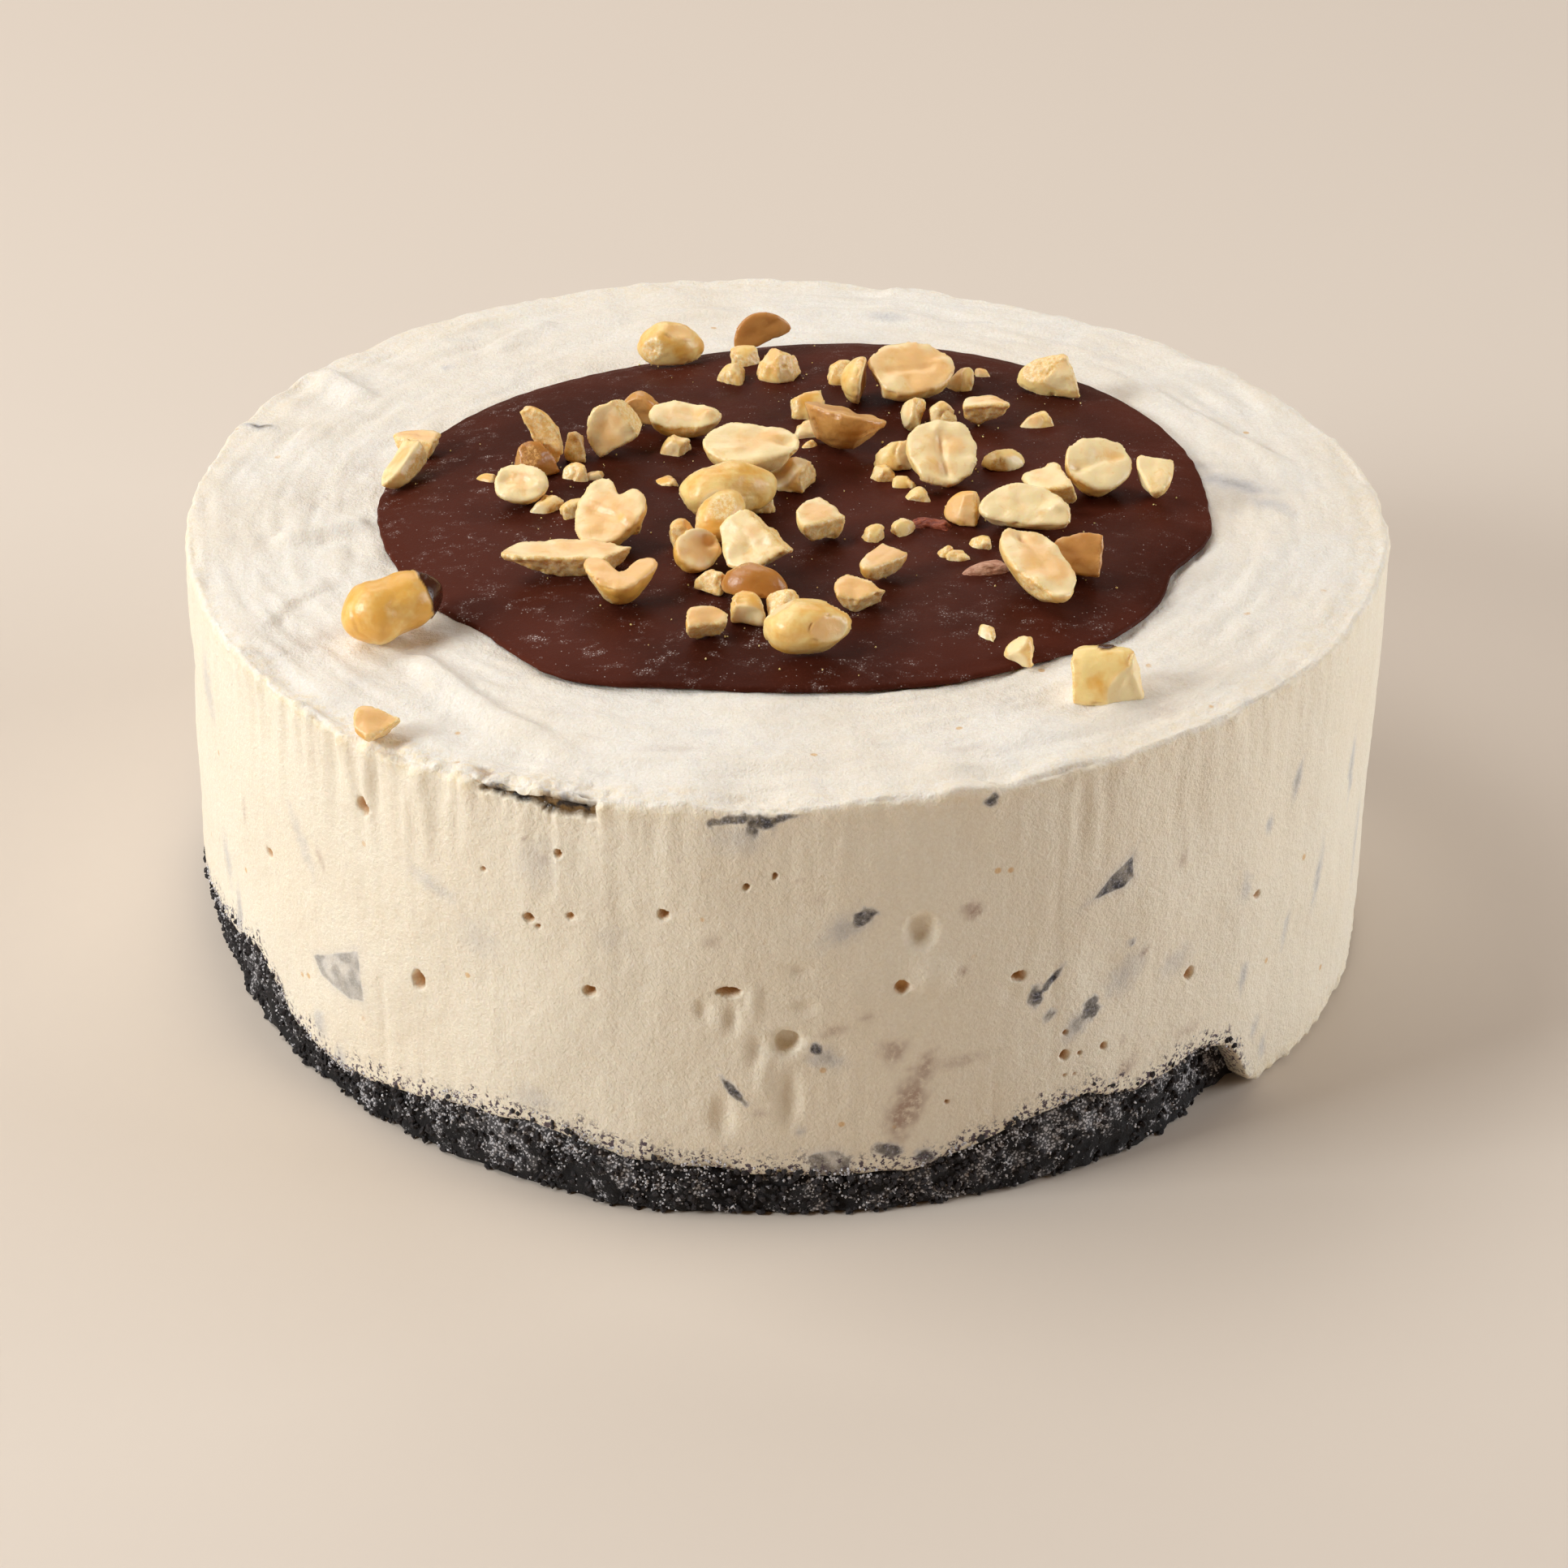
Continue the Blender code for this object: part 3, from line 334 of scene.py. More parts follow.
# How much larger the side's chocolate stains are drawn, how much stronger all stains are, and how far the
# edges wander in the side and on the top.
STAIN_GROWTH = 1.2
STAIN_STRENGTH = 1.35
STAIN_WOBBLE = 0.32
TOP_STAIN_WOBBLE = 0.4

# Chips cut clean through by the knife: strength, then corners as (angle, height), anticlockwise as seen
# from outside.
SHARDS = (
    (1.0, ((299.0, 51.2), (302.2, 51.9), (303.3, 53.2), (303.1, 57.2), (301.0, 54.9))),
    (0.8, ((273.5, 10.9), (274.0, 6.9), (275.4, 5.4), (277.2, 6.6), (277.4, 10.4), (276.2, 11.8),
           (274.6, 11.8))),
    (0.62, ((222.4, 25.3), (223.6, 22.5), (228.0, 21.6), (229.9, 22.7), (229.4, 32.1))),
    (0.8, ((66.0, 40.0), (70.0, 37.5), (70.5, 42.0), (68.0, 46.0))),
    (0.7, ((84.0, 34.0), (87.5, 31.5), (89.0, 35.5), (86.0, 38.0))),
    (0.8, ((110.0, 60.0), (114.5, 58.0), (113.0, 62.5))),
    (0.75, ((157.0, 18.0), (160.0, 15.0), (162.5, 19.0), (159.5, 23.0))),
)

# Chocolate torn open at the rim: angle range, height at both ends, and thickness.
RIM_SLABS = ((244.2, 250.4, 71.3, 71.0, 1.4), (250.0, 254.9, 71.0, 71.3, 2.9))

# Spatula marks on the top: points (x, y), height and width of the ridge, which is steep on its left.
STROKES = (
    (((-84, 60), (-79, 53), (-71, 44)), 0.9, 6.0), (((-55, 66), (-48, 75), (-41, 81)), 0.9, 5.0),
    (((-86, -11), (-78, -8), (-68, -3)), 1.0, 5.0),
    (((-58, -50), (-52, -60), (-44, -70), (-27, -86)), 0.9, 5.0),
    (((58, 58), (67, 46), (75, 34), (84, 22), (91, 12)), 0.7, 7.0),
    (((-30, -80), (-10, -84), (12, -86)), 0.35, 7.0),
    (((30, -82), (48, -74), (62, -62)), 0.4, 8.0), (((72, -40), (80, -22), (84, -4)), 0.4, 8.0),
    (((-10, 82), (14, 84), (36, 78)), 0.5, 7.0), (((-88, 20), (-82, 34), (-74, 44)), 0.5, 7.0),
    (((-30, 78), (-18, 84), (-4, 87)), 0.5, 5.0), (((-72, -26), (-80, -34), (-84, -44)), 0.45, 6.0),
)

# Stains on the top, by kind: place (x, y), half length, half width, turn, softness and strength.
TOP_STAINS = {
    "chocolate": (
        (78, 9, 9.0, 3.2, -35, 1.0, 0.42), (72, 17, 5.0, 2.4, -30, 1.0, 0.3),
        (84, 0, 5.5, 2.6, -40, 1.0, 0.3), (-91.5, 34.5, 4.2, 1.3, -30, 0.7, 0.8),
        (-60.5, 60.4, 1.4, 1.0, 0, 0.9, 0.35), (-41.2, -91.8, 2.4, 1.1, -20, 0.7, 0.75),
        (-32.2, -95.5, 5.4, 1.6, 8, 1.0, 0.28), (20, 81, 5.0, 1.6, -10, 1.0, 0.3),
        (-10, -78, 4.0, 1.4, 0, 1.0, 0.12),
    ),
    "smear": (
        (-43.6, -88.5, 1.8, 1.2, -30, 0.8, 0.6), (60, -72, 5.0, 2.4, 30, 1.0, 0.25),
        (30, -84, 5.0, 1.4, 10, 1.0, 0.2), (-72, -44, 7.0, 3.0, 60, 1.0, 0.16),
        (-16, -84, 7.0, 1.6, 0, 1.0, 0.16),
    ),
}

# The rounded lip of the chocolate, as (distance in from its edge, height), and the rings of its grid.
GANACHE_LIP = (
    (0.25, 0.05), (0.08, 0.2), (0.0, 0.4), (0.02, 0.6), (0.1, 0.8), (0.25, 0.95), (0.5, 1.05), (0.9, 1.15),
)
GANACHE_RINGS = 90
GANACHE_COLUMNS = 440

# The crust's grid, and the crumbs strewn on it and on the chocolate. Some of those tried find no place.
CRUST_ROWS = 18
CRUST_COLUMNS = 900
DARK_CRUMBS = 2600
PALE_CRUMB_TRIES = 14500
NUT_DUST_TRIES = 260
# Least and greatest half size of the crumbs, in millimetres, and how far nut dust strays from its nut.
DARK_CRUMB_SIZES = (0.25, 0.75)
PALE_CRUMB_SIZES = (0.11, 0.31)
NUT_DUST_SIZES = (0.07, 0.22)
NUT_DUST_SPREAD = 6.0 * MM

# The stretches of the left front where the side was dragged and the rim torn most: angle and reach in mm.
DRAGGED = (231.0, 32.0)
TORN = (233.0, 36.0)

# Frost on the chocolate: the side of the cake where it is thickest, and where it starts and is full.
FROST_SIDE = 200.0
FROST_FADE = (25.0 * MM, 62.0 * MM)

# Ripples and small scars in the chocolate: place (x, y), reach and height in millimetres.
GANACHE_SCARS = (
    (26, 2, 3.0, -0.5), (31, -1, 2.0, 0.5), (12, 8, 5.0, 0.5), (17, 12, 3.0, -0.4), (-4, 12, 4.0, 0.4),
    (38, -8, 3.0, -0.35), (-44, 18, 5.0, 0.35), (46, 14, 5.0, -0.3), (2, 36, 4.0, 0.4),
    (60, -22, 5.0, 0.3), (-52.5, -41.5, 3.2, 2.6), (-49.5, -44, 3.0, 1.2),
)

# Camera at the photograph's place: where it stands, its turn in degrees, and its lens in millimetres.
CAMERA_PLACE = (0.0, -0.64277, 0.39450)
CAMERA_TURN = (59.713, -0.757, 0.266)
CAMERA_LENS = 97.01
CAMERA_SENSOR = 36.0

# Soft lights: name, azimuth and height angle seen from the cake, distance and size in metres, watts, colour.
LIGHTS = (
    ("key", 203, 26, 1.5, 0.5, 16.2, (0.93, 0.975, 1.0)),
    ("upper_left", 165, 55, 1.5, 0.8, 9.4, (1.0, 0.985, 0.96)),
    ("right", 3, 18, 1.5, 1.0, 17.0, (0.86, 0.92, 0.97)),
    ("back", 95, 40, 1.5, 1.0, 5.5, (1.0, 1.0, 1.0)),
)
WORLD_COLOUR = (1.0, 0.54, 0.22)
WORLD_STRENGTH = 0.13
# The lights point at this height above the middle of the foot, in metres.
LIGHTS_AIM = 0.05
FLOOR_COLOUR = (0.72, 0.635, 0.545)
FLOOR_HALF_SIZE = 4.0
# The floor glows far from the cake, where the lights don't reach: start and end in metres, and strength.
FLOOR_GLOW = (0.9, 2.6, 0.9)


def smooth_step(low, high, value):
    share = np.clip((value - low) / (high - low), 0.0, 1.0)
    return share * share * (3.0 - 2.0 * share)


def blend_points(points, spot):
    """The value at a spot, an angle or a distance, on straight lines between (spot, value) points."""
    for (start, low), (end, high) in zip(points, points[1:]):
        if start <= spot <= end:
            return low + (high - low) * (spot - start) / (end - start)
    return None


def ring_noise(degrees, height, grain, seed):
    angle = math.radians(degrees)
    spot = Vector((CAKE_RADIUS * math.cos(angle), CAKE_RADIUS * math.sin(angle), height)) / grain
    return noise.noise(spot + Vector((seed, 0.0, 0.0)))


def side_radius(degrees):
    oval = OVAL * math.cos(2.0 * math.radians(degrees - OVAL_ANGLE))
    three_sided = THREE_SIDED * math.cos(3.0 * math.radians(degrees - THREE_SIDED_ANGLE))
    return CAKE_RADIUS * (1.0 + oval + three_sided)


def top_plane(x, y):
    return CAKE_HEIGHT + TOP_SLOPE_X * x + TOP_SLOPE_Y * y


def crust_edge(degrees):
    """Outer radius and top height of the crust at an angle."""
    height = blend_points(CRUST_TOP_LINE, degrees)
    if height is None:
        height = 9.5 + 2.0 * math.sin(math.radians(3.0 * degrees + 40.0))
    setback = blend_points(CRUST_SETBACK, degrees) * MM
    radius = side_radius(degrees) - setback + CRUST_ROUGHNESS * ring_noise(degrees, 0.0, 7.0 * MM, 5.0)
    return radius, height * MM + CRUST_ROUGHNESS * ring_noise(degrees, 0.02, 5.0 * MM, 9.0)


def crust_shoulder(degrees):
    return min(crust_edge(degrees)[0] - CRUST_EDGE, side_radius(degrees) - CRUST_EDGE - 0.6 * MM)


def cover_share(degrees):
    """1 where the ice cream hides the crust down to its foot, 0 where the crust shows."""
    turned = degrees if degrees > 180 else degrees + 360
    rise = smooth_step(COVER_START, COVER_START + COVER_RAMP, turned)
    return float(rise * (1.0 - smooth_step(COVER_END - COVER_RAMP, COVER_END, turned)))


def rim_height(degrees):
    worn = math.exp(-(((degrees - WORN_RIM_ANGLE) / WORN_RIM_WIDTH) ** 2))
    return RIM_RELIEF * ring_noise(degrees, 0.07, 8.0 * MM, 1.0) - WORN_RIM_DEPTH * worn


def ganache_radius(degrees):
    """Radius of the chocolate's outline: a circle, with each lobe fading out on both its sides."""
    reach = 0.0
    for at, height, wide in GANACHE_LOBES:
        away = (degrees - at + 180.0) % 360.0 - 180.0
        reach += height * math.exp(-((away / wide) ** 2))
    return GANACHE_RADIUS + reach * MM


def ganache_top(x, y):
    """Height of the top of the chocolate at a place on it, without its ripples."""
    across = x - GANACHE_CENTRE[0]
    along = y - GANACHE_CENTRE[1]
    back = (ganache_radius(math.degrees(math.atan2(along, across)) % 360.0) - math.hypot(across, along)) / MM
    first, last = GANACHE_TOP_LINE[0][0], GANACHE_TOP_LINE[-1][0]
    return top_plane(x, y) + GAP + blend_points(GANACHE_TOP_LINE, min(max(back, first), last)) * MM


def noise_field(points, grain, seed=0.0):
    """Noise from -1 to 1 at each point of an array, with lumps of one size or of a size for each axis."""
    scaled = points / grain + (seed, 0.0, 0.0)
    return np.array([noise.noise(point) for point in scaled.tolist()])


def noise_shifts(points, grain, seed):
    """Noise along each of the three axes, for moving the points."""
    return np.stack([noise_field(points, grain, seed + axis) for axis in range(3)], axis=1)


class Shader:
    """A node material under construction: each call adds one node and returns its output."""

    def __init__(self, name):
        self.material = bpy.data.materials.new(name)
        self.material.use_nodes = True
        self.tree = self.material.node_tree
        self.surface = self.tree.nodes["Principled BSDF"]
        self.place = self.add("TexCoord").outputs["Object"]

    def feed(self, socket, value):
        if isinstance(value, bpy.types.NodeSocket):
            self.tree.links.new(value, socket)
        elif isinstance(value, tuple) and socket.type == "RGBA":
            socket.default_value = (*value, 1.0)
        else:
            socket.default_value = value

    def fill(self, node, **inputs):
        for name, value in inputs.items():
            self.feed(node.inputs[name.replace("_", " ")], value)
        return node

    def add(self, kind, **inputs):
        return self.fill(self.tree.nodes.new("ShaderNode" + kind), **inputs)

    def attribute(self, name):
        node = self.add("Attribute")
        node.attribute_name = name
        return node.outputs["Fac"]

    def stretched(self, scale, turn=(0.0, 0.0, 0.0)):
        return self.add("Mapping", Vector=self.place, Scale=scale, Rotation=turn).outputs["Vector"]

    def noise(self, grain, detail=2.0, roughness=0.5, place=None, distortion=0.0):
        node = self.add("TexNoise", Vector=place or self.place, Scale=1.0 / grain, Detail=detail,
                        Roughness=roughness, Distortion=distortion)
        return node.outputs["Fac"]

    def cells(self, grain):
        return self.add("TexVoronoi", Vector=self.place, Scale=1.0 / grain).outputs["Distance"]

    def step(self, value, low, high, bottom=0.0, top=1.0):
        node = self.add("MapRange", Value=value, From_Min=low, From_Max=high, To_Min=bottom, To_Max=top)
        node.interpolation_type = "SMOOTHSTEP"
        return node.outputs["Result"]

    def math(self, operation, first, second):
        node = self.add("Math")
        node.operation = operation
        self.feed(node.inputs[0], first)
        self.feed(node.inputs[1], second)
        return node.outputs["Value"]

    def times(self, *values):
        result = values[0]
        for value in values[1:]:
            result = self.math("MULTIPLY", result, value)
        return result

    def mix(self, share, first, second):
        node = self.add("Mix")
        node.data_type = "RGBA"
        self.feed(node.inputs["Factor"], share)
        self.feed(node.inputs[6], first)
        self.feed(node.inputs[7], second)
        return node.outputs[2]

    def bump(self, height, distance, strength, normal=None):
        node = self.add("Bump", Strength=strength, Distance=distance, Height=height)
        if normal is not None:
            self.feed(node.inputs["Normal"], normal)
        return node.outputs["Normal"]

    def finish(self, **settings):
        self.fill(self.surface, **settings)
        return self.material


def soften(shader, weight, depth, radius):
    """Lets light spread a little way under the surface."""
    shader.fill(shader.surface, Subsurface_Weight=weight, Subsurface_Scale=depth, Subsurface_Radius=radius)


def ice_cream_material():
    shader = Shader("vanilla_ice_cream")
    top = shader.attribute("top")
    # The side is drawn warmer and darker than the top. Part of that warmth is painted warm bounce light in
    # the side's shade.
    base = shader.mix(top, (0.905, 0.832, 0.685), (0.90, 0.87, 0.80))
    clouds = shader.noise(0.028, 3.0, 0.55)
    base = shader.mix(shader.step(clouds, 0.35, 0.7), base, shader.mix(0.35, base, (0.86, 0.74, 0.56)))
    streaks = shader.noise(1.0, 3.0, 0.6, shader.stretched((320.0, 320.0, 26.0)))
    base = shader.mix(shader.step(streaks, 0.45, 0.8, 0.0, 0.22), base, (0.80, 0.70, 0.55))
    # Grey patches on the upward faces of the top: painted shade of the brush marks.
    brush_shadow_noise = shader.noise(0.007, 4.0, 0.6, distortion=1.2)
    brush_shadow = shader.times(top, shader.step(brush_shadow_noise, 0.52, 0.74, 0.0, 0.32))
    base = shader.mix(brush_shadow, base, (0.72, 0.72, 0.72))
    grain = shader.noise(0.00055, 2.0, 0.7)
    base = shader.mix(shader.step(grain, 0.35, 0.7), shader.mix(0.2, base, (0.62, 0.49, 0.33)), base)
    crumbs = shader.cells(0.0075)
    kept = shader.step(shader.noise(0.011, 1.0), 0.50, 0.60)
    spots = shader.times(shader.step(crumbs, 0.05, 0.095, 1.0, 0.0), kept, 0.75)
    base = shader.mix(spots, base, (0.72, 0.44, 0.17))
    smear = shader.times(shader.attribute("smear"), shader.step(shader.noise(0.0011, 3.0, 0.7), 0.22, 0.58))
    base = shader.mix(smear, base, (0.36, 0.215, 0.15))
    frost = shader.step(shader.noise(0.00045, 2.0, 0.7), 0.5, 0.66)
    dark = shader.mix(frost, (0.018, 0.018, 0.030), (0.20, 0.20, 0.25))
    veil = shader.step(shader.noise(0.0022, 3.0, 0.7), 0.34, 0.62, 1.0, 0.78)
    tinted = shader.mix(shader.step(shader.attribute("chocolate"), 0.35, 0.75), (0.34, 0.37, 0.46), dark)
    base = shader.mix(shader.times(shader.attribute("chocolate"), veil), base, tinted)
    # Inside the air holes the colour turns a dark golden brown: painted shade in the hollows.
    base = shader.mix(shader.attribute("pit"), base, (0.58, 0.27, 0.035))
    dust_grain = shader.step(shader.noise(0.0008, 2.0, 0.7), 0.5, 0.62)
    dust = shader.math("MINIMUM", shader.times(shader.attribute("dust"), dust_grain, 1.6), 1.0)
    base = shader.mix(dust, base, (0.10, 0.07, 0.085))
    ragged = shader.step(shader.noise(0.0016, 3.0, 0.7), 0.4, 0.7, 0.0, 0.55)
    base = shader.mix(shader.times(shader.attribute("torn"), ragged), base, (0.84, 0.67, 0.38))
    brush = shader.step(shader.attribute("brush"), 0.1, 0.6, 0.0, 0.2)
    base = shader.mix(brush, base, (0.80, 0.71, 0.56))
    slab = shader.attribute("slab")
    browned = shader.step(shader.noise(0.0022, 2.0, 0.6), 0.42, 0.6)
    base = shader.mix(slab, base, shader.mix(browned, (0.014, 0.006, 0.003), (0.19, 0.105, 0.03)))
    coarse = shader.noise(0.0017, 4.0, 0.65)
    normal = shader.bump(coarse, 0.0005, 0.55)
    normal = shader.bump(grain, 0.0002, 0.9, normal)
    soften(shader, 0.2, 0.0026, (1.0, 0.72, 0.44))
    rough = shader.step(slab, 0.0, 1.0, 0.62, 0.3)
    return shader.finish(Base_Color=base, Roughness=rough, Normal=normal)


def crust_material():
    shader = Shader("cookie_crust")
    fine = shader.noise(0.0006, 3.0, 0.8)
    clusters = shader.noise(0.0045, 2.0, 0.6)
    frost = shader.math("ADD", fine, shader.times(shader.math("SUBTRACT", clusters, 0.5), 1.5))
    height = shader.attribute("height")
    frost = shader.math("ADD", frost, shader.step(height, 0.0, 0.8, -0.14, 0.05))
    grains = shader.step(shader.cells(0.0005), 0.3, 0.55, 1.0, 0.12)
    frost = shader.times(shader.step(frost, 0.45, 0.57), grains)
    colour = shader.mix(frost, (0.0065, 0.005, 0.0055), (0.66, 0.64, 0.66))
    normal = shader.bump(shader.noise(0.0008, 4.0, 0.8), 0.0008, 0.9)
    return shader.finish(Base_Color=colour, Roughness=0.85, Normal=normal)


def crumb_material(name, dark, light):
    shader = Shader(name)
    fine = shader.noise(0.0004, 2.0, 0.7)
    colour = shader.mix(shader.step(fine, 0.42, 0.62), dark, light)
    return shader.finish(Base_Color=colour, Roughness=0.8, Normal=shader.bump(fine, 0.0003, 0.7))


def ganache_material():
    """Deep brown chocolate with a fine pinkish grain, clouds of frost and small ice specks."""
    shader = Shader("chocolate")
    clouds = shader.noise(0.03, 3.0, 0.55)
    base = shader.mix(shader.step(clouds, 0.35, 0.65), (0.050, 0.0112, 0.0058), (0.082, 0.0186, 0.0100))
    grain = shader.noise(0.00045, 3.0, 0.75)
    base = shader.mix(shader.step(grain, 0.5, 0.78, 0.0, 0.4), base, (0.135, 0.038, 0.024))
    place = shader.stretched((0.75, 1.0, 1.0), (0.0, 0.0, 0.35))
    patches = shader.step(shader.noise(0.0028, 3.0, 0.65, place, 0.3), 0.52, 0.74)
    spread = shader.step(shader.noise(0.016, 1.0), 0.4, 0.6, 0.35, 1.0)
    patches = shader.times(patches, spread, shader.attribute("frosted"))
    powder = shader.step(shader.noise(0.0003, 2.0, 0.8), 0.38, 0.62)
    base = shader.mix(shader.times(patches, powder, 0.35), base, (0.40, 0.27, 0.24))
    crystals = shader.step(shader.cells(0.00042), 0.16, 0.34, 1.0, 0.0)
    base = shader.mix(shader.times(patches, crystals, 1.3), base, (0.74, 0.65, 0.62))
    strewn = shader.step(shader.noise(0.006, 2.0, 0.6), 0.46, 0.6)
    specks = shader.times(shader.step(shader.cells(0.0011), 0.06, 0.12, 1.0, 0.0), strewn, 0.85)
    base = shader.mix(specks, base, (0.52, 0.43, 0.40))
    normal = shader.bump(shader.noise(0.006, 3.0, 0.6), 0.0005, 0.35)
    normal = shader.bump(grain, 0.0001, 0.5, normal)
    rough = shader.step(grain, 0.3, 0.8, 0.42, 0.62)
    return shader.finish(Base_Color=base, Roughness=rough, Specular_IOR_Level=0.04, Normal=normal)


def peanut_material(name, pale, gold, inner, broken, tan):
    """Pale skinless peanut: golden outside, creamier on the split face, and grainy where it broke."""
    shader = Shader(name)
    tone = shader.times(shader.math("SUBTRACT", shader.attribute("tone"), 0.5), 0.95)
    blotches = shader.math("ADD", shader.noise(0.0045, 3.0, 0.6), tone)
    base = shader.mix(shader.step(blotches, 0.34, 0.68), pale, gold)
    middle = shader.math("SUBTRACT", shader.times(shader.attribute("middle"), 0.28), 0.08)
    blush = shader.math("ADD", shader.math("ADD", shader.noise(0.005, 2.0, 0.5), tone), middle)
    blush = shader.step(blush, 0.4, 0.74, 0.0, 0.9)
    base = shader.mix(shader.times(shader.attribute("inner"), 0.9), base, shader.mix(blush, inner, tan))
    crumbly = shader.step(shader.noise(0.0006, 3.0, 0.8), 0.4, 0.62)
    base = shader.mix(shader.attribute("broken"), base, shader.mix(crumbly, broken, inner))
    base = shader.mix(shader.times(shader.attribute("edge"), 0.4), base, gold)
    deeper = shader.step(shader.noise(0.0026, 3.0, 0.65, distortion=0.5), 0.52, 0.74, 0.0, 0.55)
    base = shader.mix(deeper, base, shader.mix(0.5, gold, broken))
    freckles = shader.times(shader.step(shader.cells(0.0032), 0.05, 0.1, 1.0, 0.0), 0.45)
    base = shader.mix(freckles, base, broken)
    dipped = shader.attribute("dipped")
    base = shader.mix(dipped, base, (0.058, 0.015, 0.008))
    veins = shader.noise(1.0, 3.0, 0.6, shader.stretched((120.0, 700.0, 700.0)))
    normal = shader.bump(veins, 0.00025, 0.35)
    normal = shader.bump(shader.noise(0.0006, 2.0, 0.6), 0.0001, 0.5, normal)
    soften(shader, 0.25, 0.0016, (1.0, 0.46, 0.13))
    return shader.finish(Base_Color=base, Roughness=shader.step(dipped, 0.0, 1.0, 0.34, 0.22), Normal=normal)


def skin_material(name, dark, light):
    shader = Shader(name)
    wrinkles = shader.noise(1.0, 4.0, 0.7, shader.stretched((500.0, 1500.0, 1500.0)))
    colour = shader.mix(shader.step(wrinkles, 0.35, 0.65), dark, light)
    return shader.finish(Base_Color=colour, Roughness=0.45, Normal=shader.bump(wrinkles, 0.0006, 0.8))


def floor_material():
    shader = Shader("floor")
    mottle = shader.noise(0.25, 3.0, 0.5)
    low = tuple(0.97 * value for value in FLOOR_COLOUR)
    colour = shader.mix(mottle, low, FLOOR_COLOUR)
    away = shader.add("VectorMath")
    away.operation = "LENGTH"
    shader.feed(away.inputs[0], shader.place)
    start, end, strength = FLOOR_GLOW
    glow = shader.step(away.outputs["Value"], start, end, 0.0, strength)
    return shader.finish(
        Base_Color=colour, Roughness=0.7, Emission_Color=FLOOR_COLOUR, Emission_Strength=glow)


def add_piece(name, mesh, material, slot, *nodes):
    """Puts a mesh in the scene as a piece that rides on the cake and stands for the named nodes."""
    mesh.materials.clear()
    mesh.materials.append(material)
    piece = bpy.data.objects.new(name, mesh)
    bpy.context.scene.collection.objects.link(piece)
    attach(piece, "root")
    if nodes:
        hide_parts(*nodes)


def set_attributes(mesh, **shares):
    """Stores one number at each point for every name given, which the materials read."""
    for name, values in shares.items():
        attribute = mesh.attributes.new(name, "FLOAT", "POINT")
        attribute.data.foreach_set("value", np.asarray(values, np.float32))


def finished_mesh(name, body):
    mesh = bpy.data.meshes.new(name)
    body.to_mesh(mesh)
    body.free()
    return mesh


def angles(points):
    return np.degrees(np.arctan2(points[:, 1], points[:, 0])) % 360.0


def point_vectors(mesh, kind="co"):
    """The place of each point of a mesh, or its normal."""
    vectors = np.empty(len(mesh.vertices) * 3)
    mesh.vertices.foreach_get(kind, vectors)
    return vectors.reshape(-1, 3)


def move_points(mesh, points):
    mesh.vertices.foreach_set("co", points.ravel())
    mesh.update()


def evaluated_copy(mesh, prepare):
    """The mesh after the modifiers that prepare() adds to a passing object."""
    helper = bpy.data.objects.new("helper", mesh)
    bpy.context.scene.collection.objects.link(helper)
    prepare(helper)
    bpy.context.view_layer.update()
    graph = bpy.context.evaluated_depsgraph_get()
    made = bpy.data.meshes.new_from_object(helper.evaluated_get(graph))
    bpy.data.objects.remove(helper)
    return made


def cut_half(body, plane, kind):
    """Removes what lies beyond the plane and closes the cut with a face of the given kind."""
    spot, normal = plane
    geometry = body.verts[:] + body.edges[:] + body.faces[:]
    bmesh.ops.bisect_plane(body, geom=geometry, plane_co=spot, plane_no=normal, clear_outer=True)
    rim = [edge for edge in body.edges if edge.is_boundary]
    for face in bmesh.ops.holes_fill(body, edges=rim)["faces"]:
        face.material_index = kind


def chip_facets(body, form, seed):
    """Knocks a few flat chips off the nut, where chopping left its corners."""
    generator = random.Random(seed)
    count, least, most = FACETS.get(form, FACETS["half"])
    for number in range(count):
        direction = Vector([generator.gauss(0.0, 1.0) for axis in range(3)])
        direction.z = 0.8 * abs(direction.z)
        direction.normalize()
        reach = max(vertex.co.dot(direction) for vertex in body.verts)
        share = generator.uniform(least, most)
        cut_half(body, (direction * reach * share, direction), generator.choice((INNER, BROKEN)))


def nut_body(form, seed):
    """A nut of unit half size with its long axis along X, split and broken as its form says."""
    body = bmesh.new()
    bmesh.ops.create_uvsphere(body, u_segments=NUT_SIDES, v_segments=NUT_RINGS, radius=1.0)
    for vertex in body.verts:
        x, y, z = vertex.co
        narrowing = 1.0 - NUT_NARROWING * z
        if form == "whole":
            narrowing *= 1.0 + WHOLE_FULLNESS * math.sin(math.pi * min(abs(z), 1.0)) ** 2
        vertex.co = Vector((z, x * narrowing, y * narrowing))
    bmesh.ops.recalc_face_normals(body, faces=body.faces)
    if form != "whole":
        cut_half(body, (Vector((0.0, 0.0, 0.02)), Vector((0.0, 0.0, -1.0))), INNER)
    for turn, lean, share in FORM_CUTS.get(form, ()):
        wobble = math.radians(turn + random.uniform(-8.0, 8.0))
        tilt = math.radians(lean + random.uniform(-6.0, 6.0))
        level = math.cos(tilt)
        normal = Vector((math.cos(wobble) * level, math.sin(wobble) * level, math.sin(tilt)))
        cut_half(body, (normal * share, normal), BROKEN)
    chip_facets(body, form, seed)
    bend = FORM_BEND.get(form, 0.0)
    depth, width = NOTCHES.get(form, (0.0, 1.0))
    for vertex in body.verts:
        notch = depth * math.exp(-((vertex.co.x / width) ** 2))
        vertex.co.y += notch * max(-vertex.co.y, 0.0) + bend * vertex.co.x ** 2
    bmesh.ops.recalc_face_normals(body, faces=body.faces)
    return body


def fit_size(body, size):
    low = Vector([min(vertex.co[axis] for vertex in body.verts) for axis in range(3)])
    high = Vector([max(vertex.co[axis] for vertex in body.verts) for axis in range(3)])
    for vertex in body.verts:
        for axis in range(3):
            share = (vertex.co[axis] - low[axis]) / (high[axis] - low[axis]) - 0.5
            vertex.co[axis] = share * size[axis] * MM


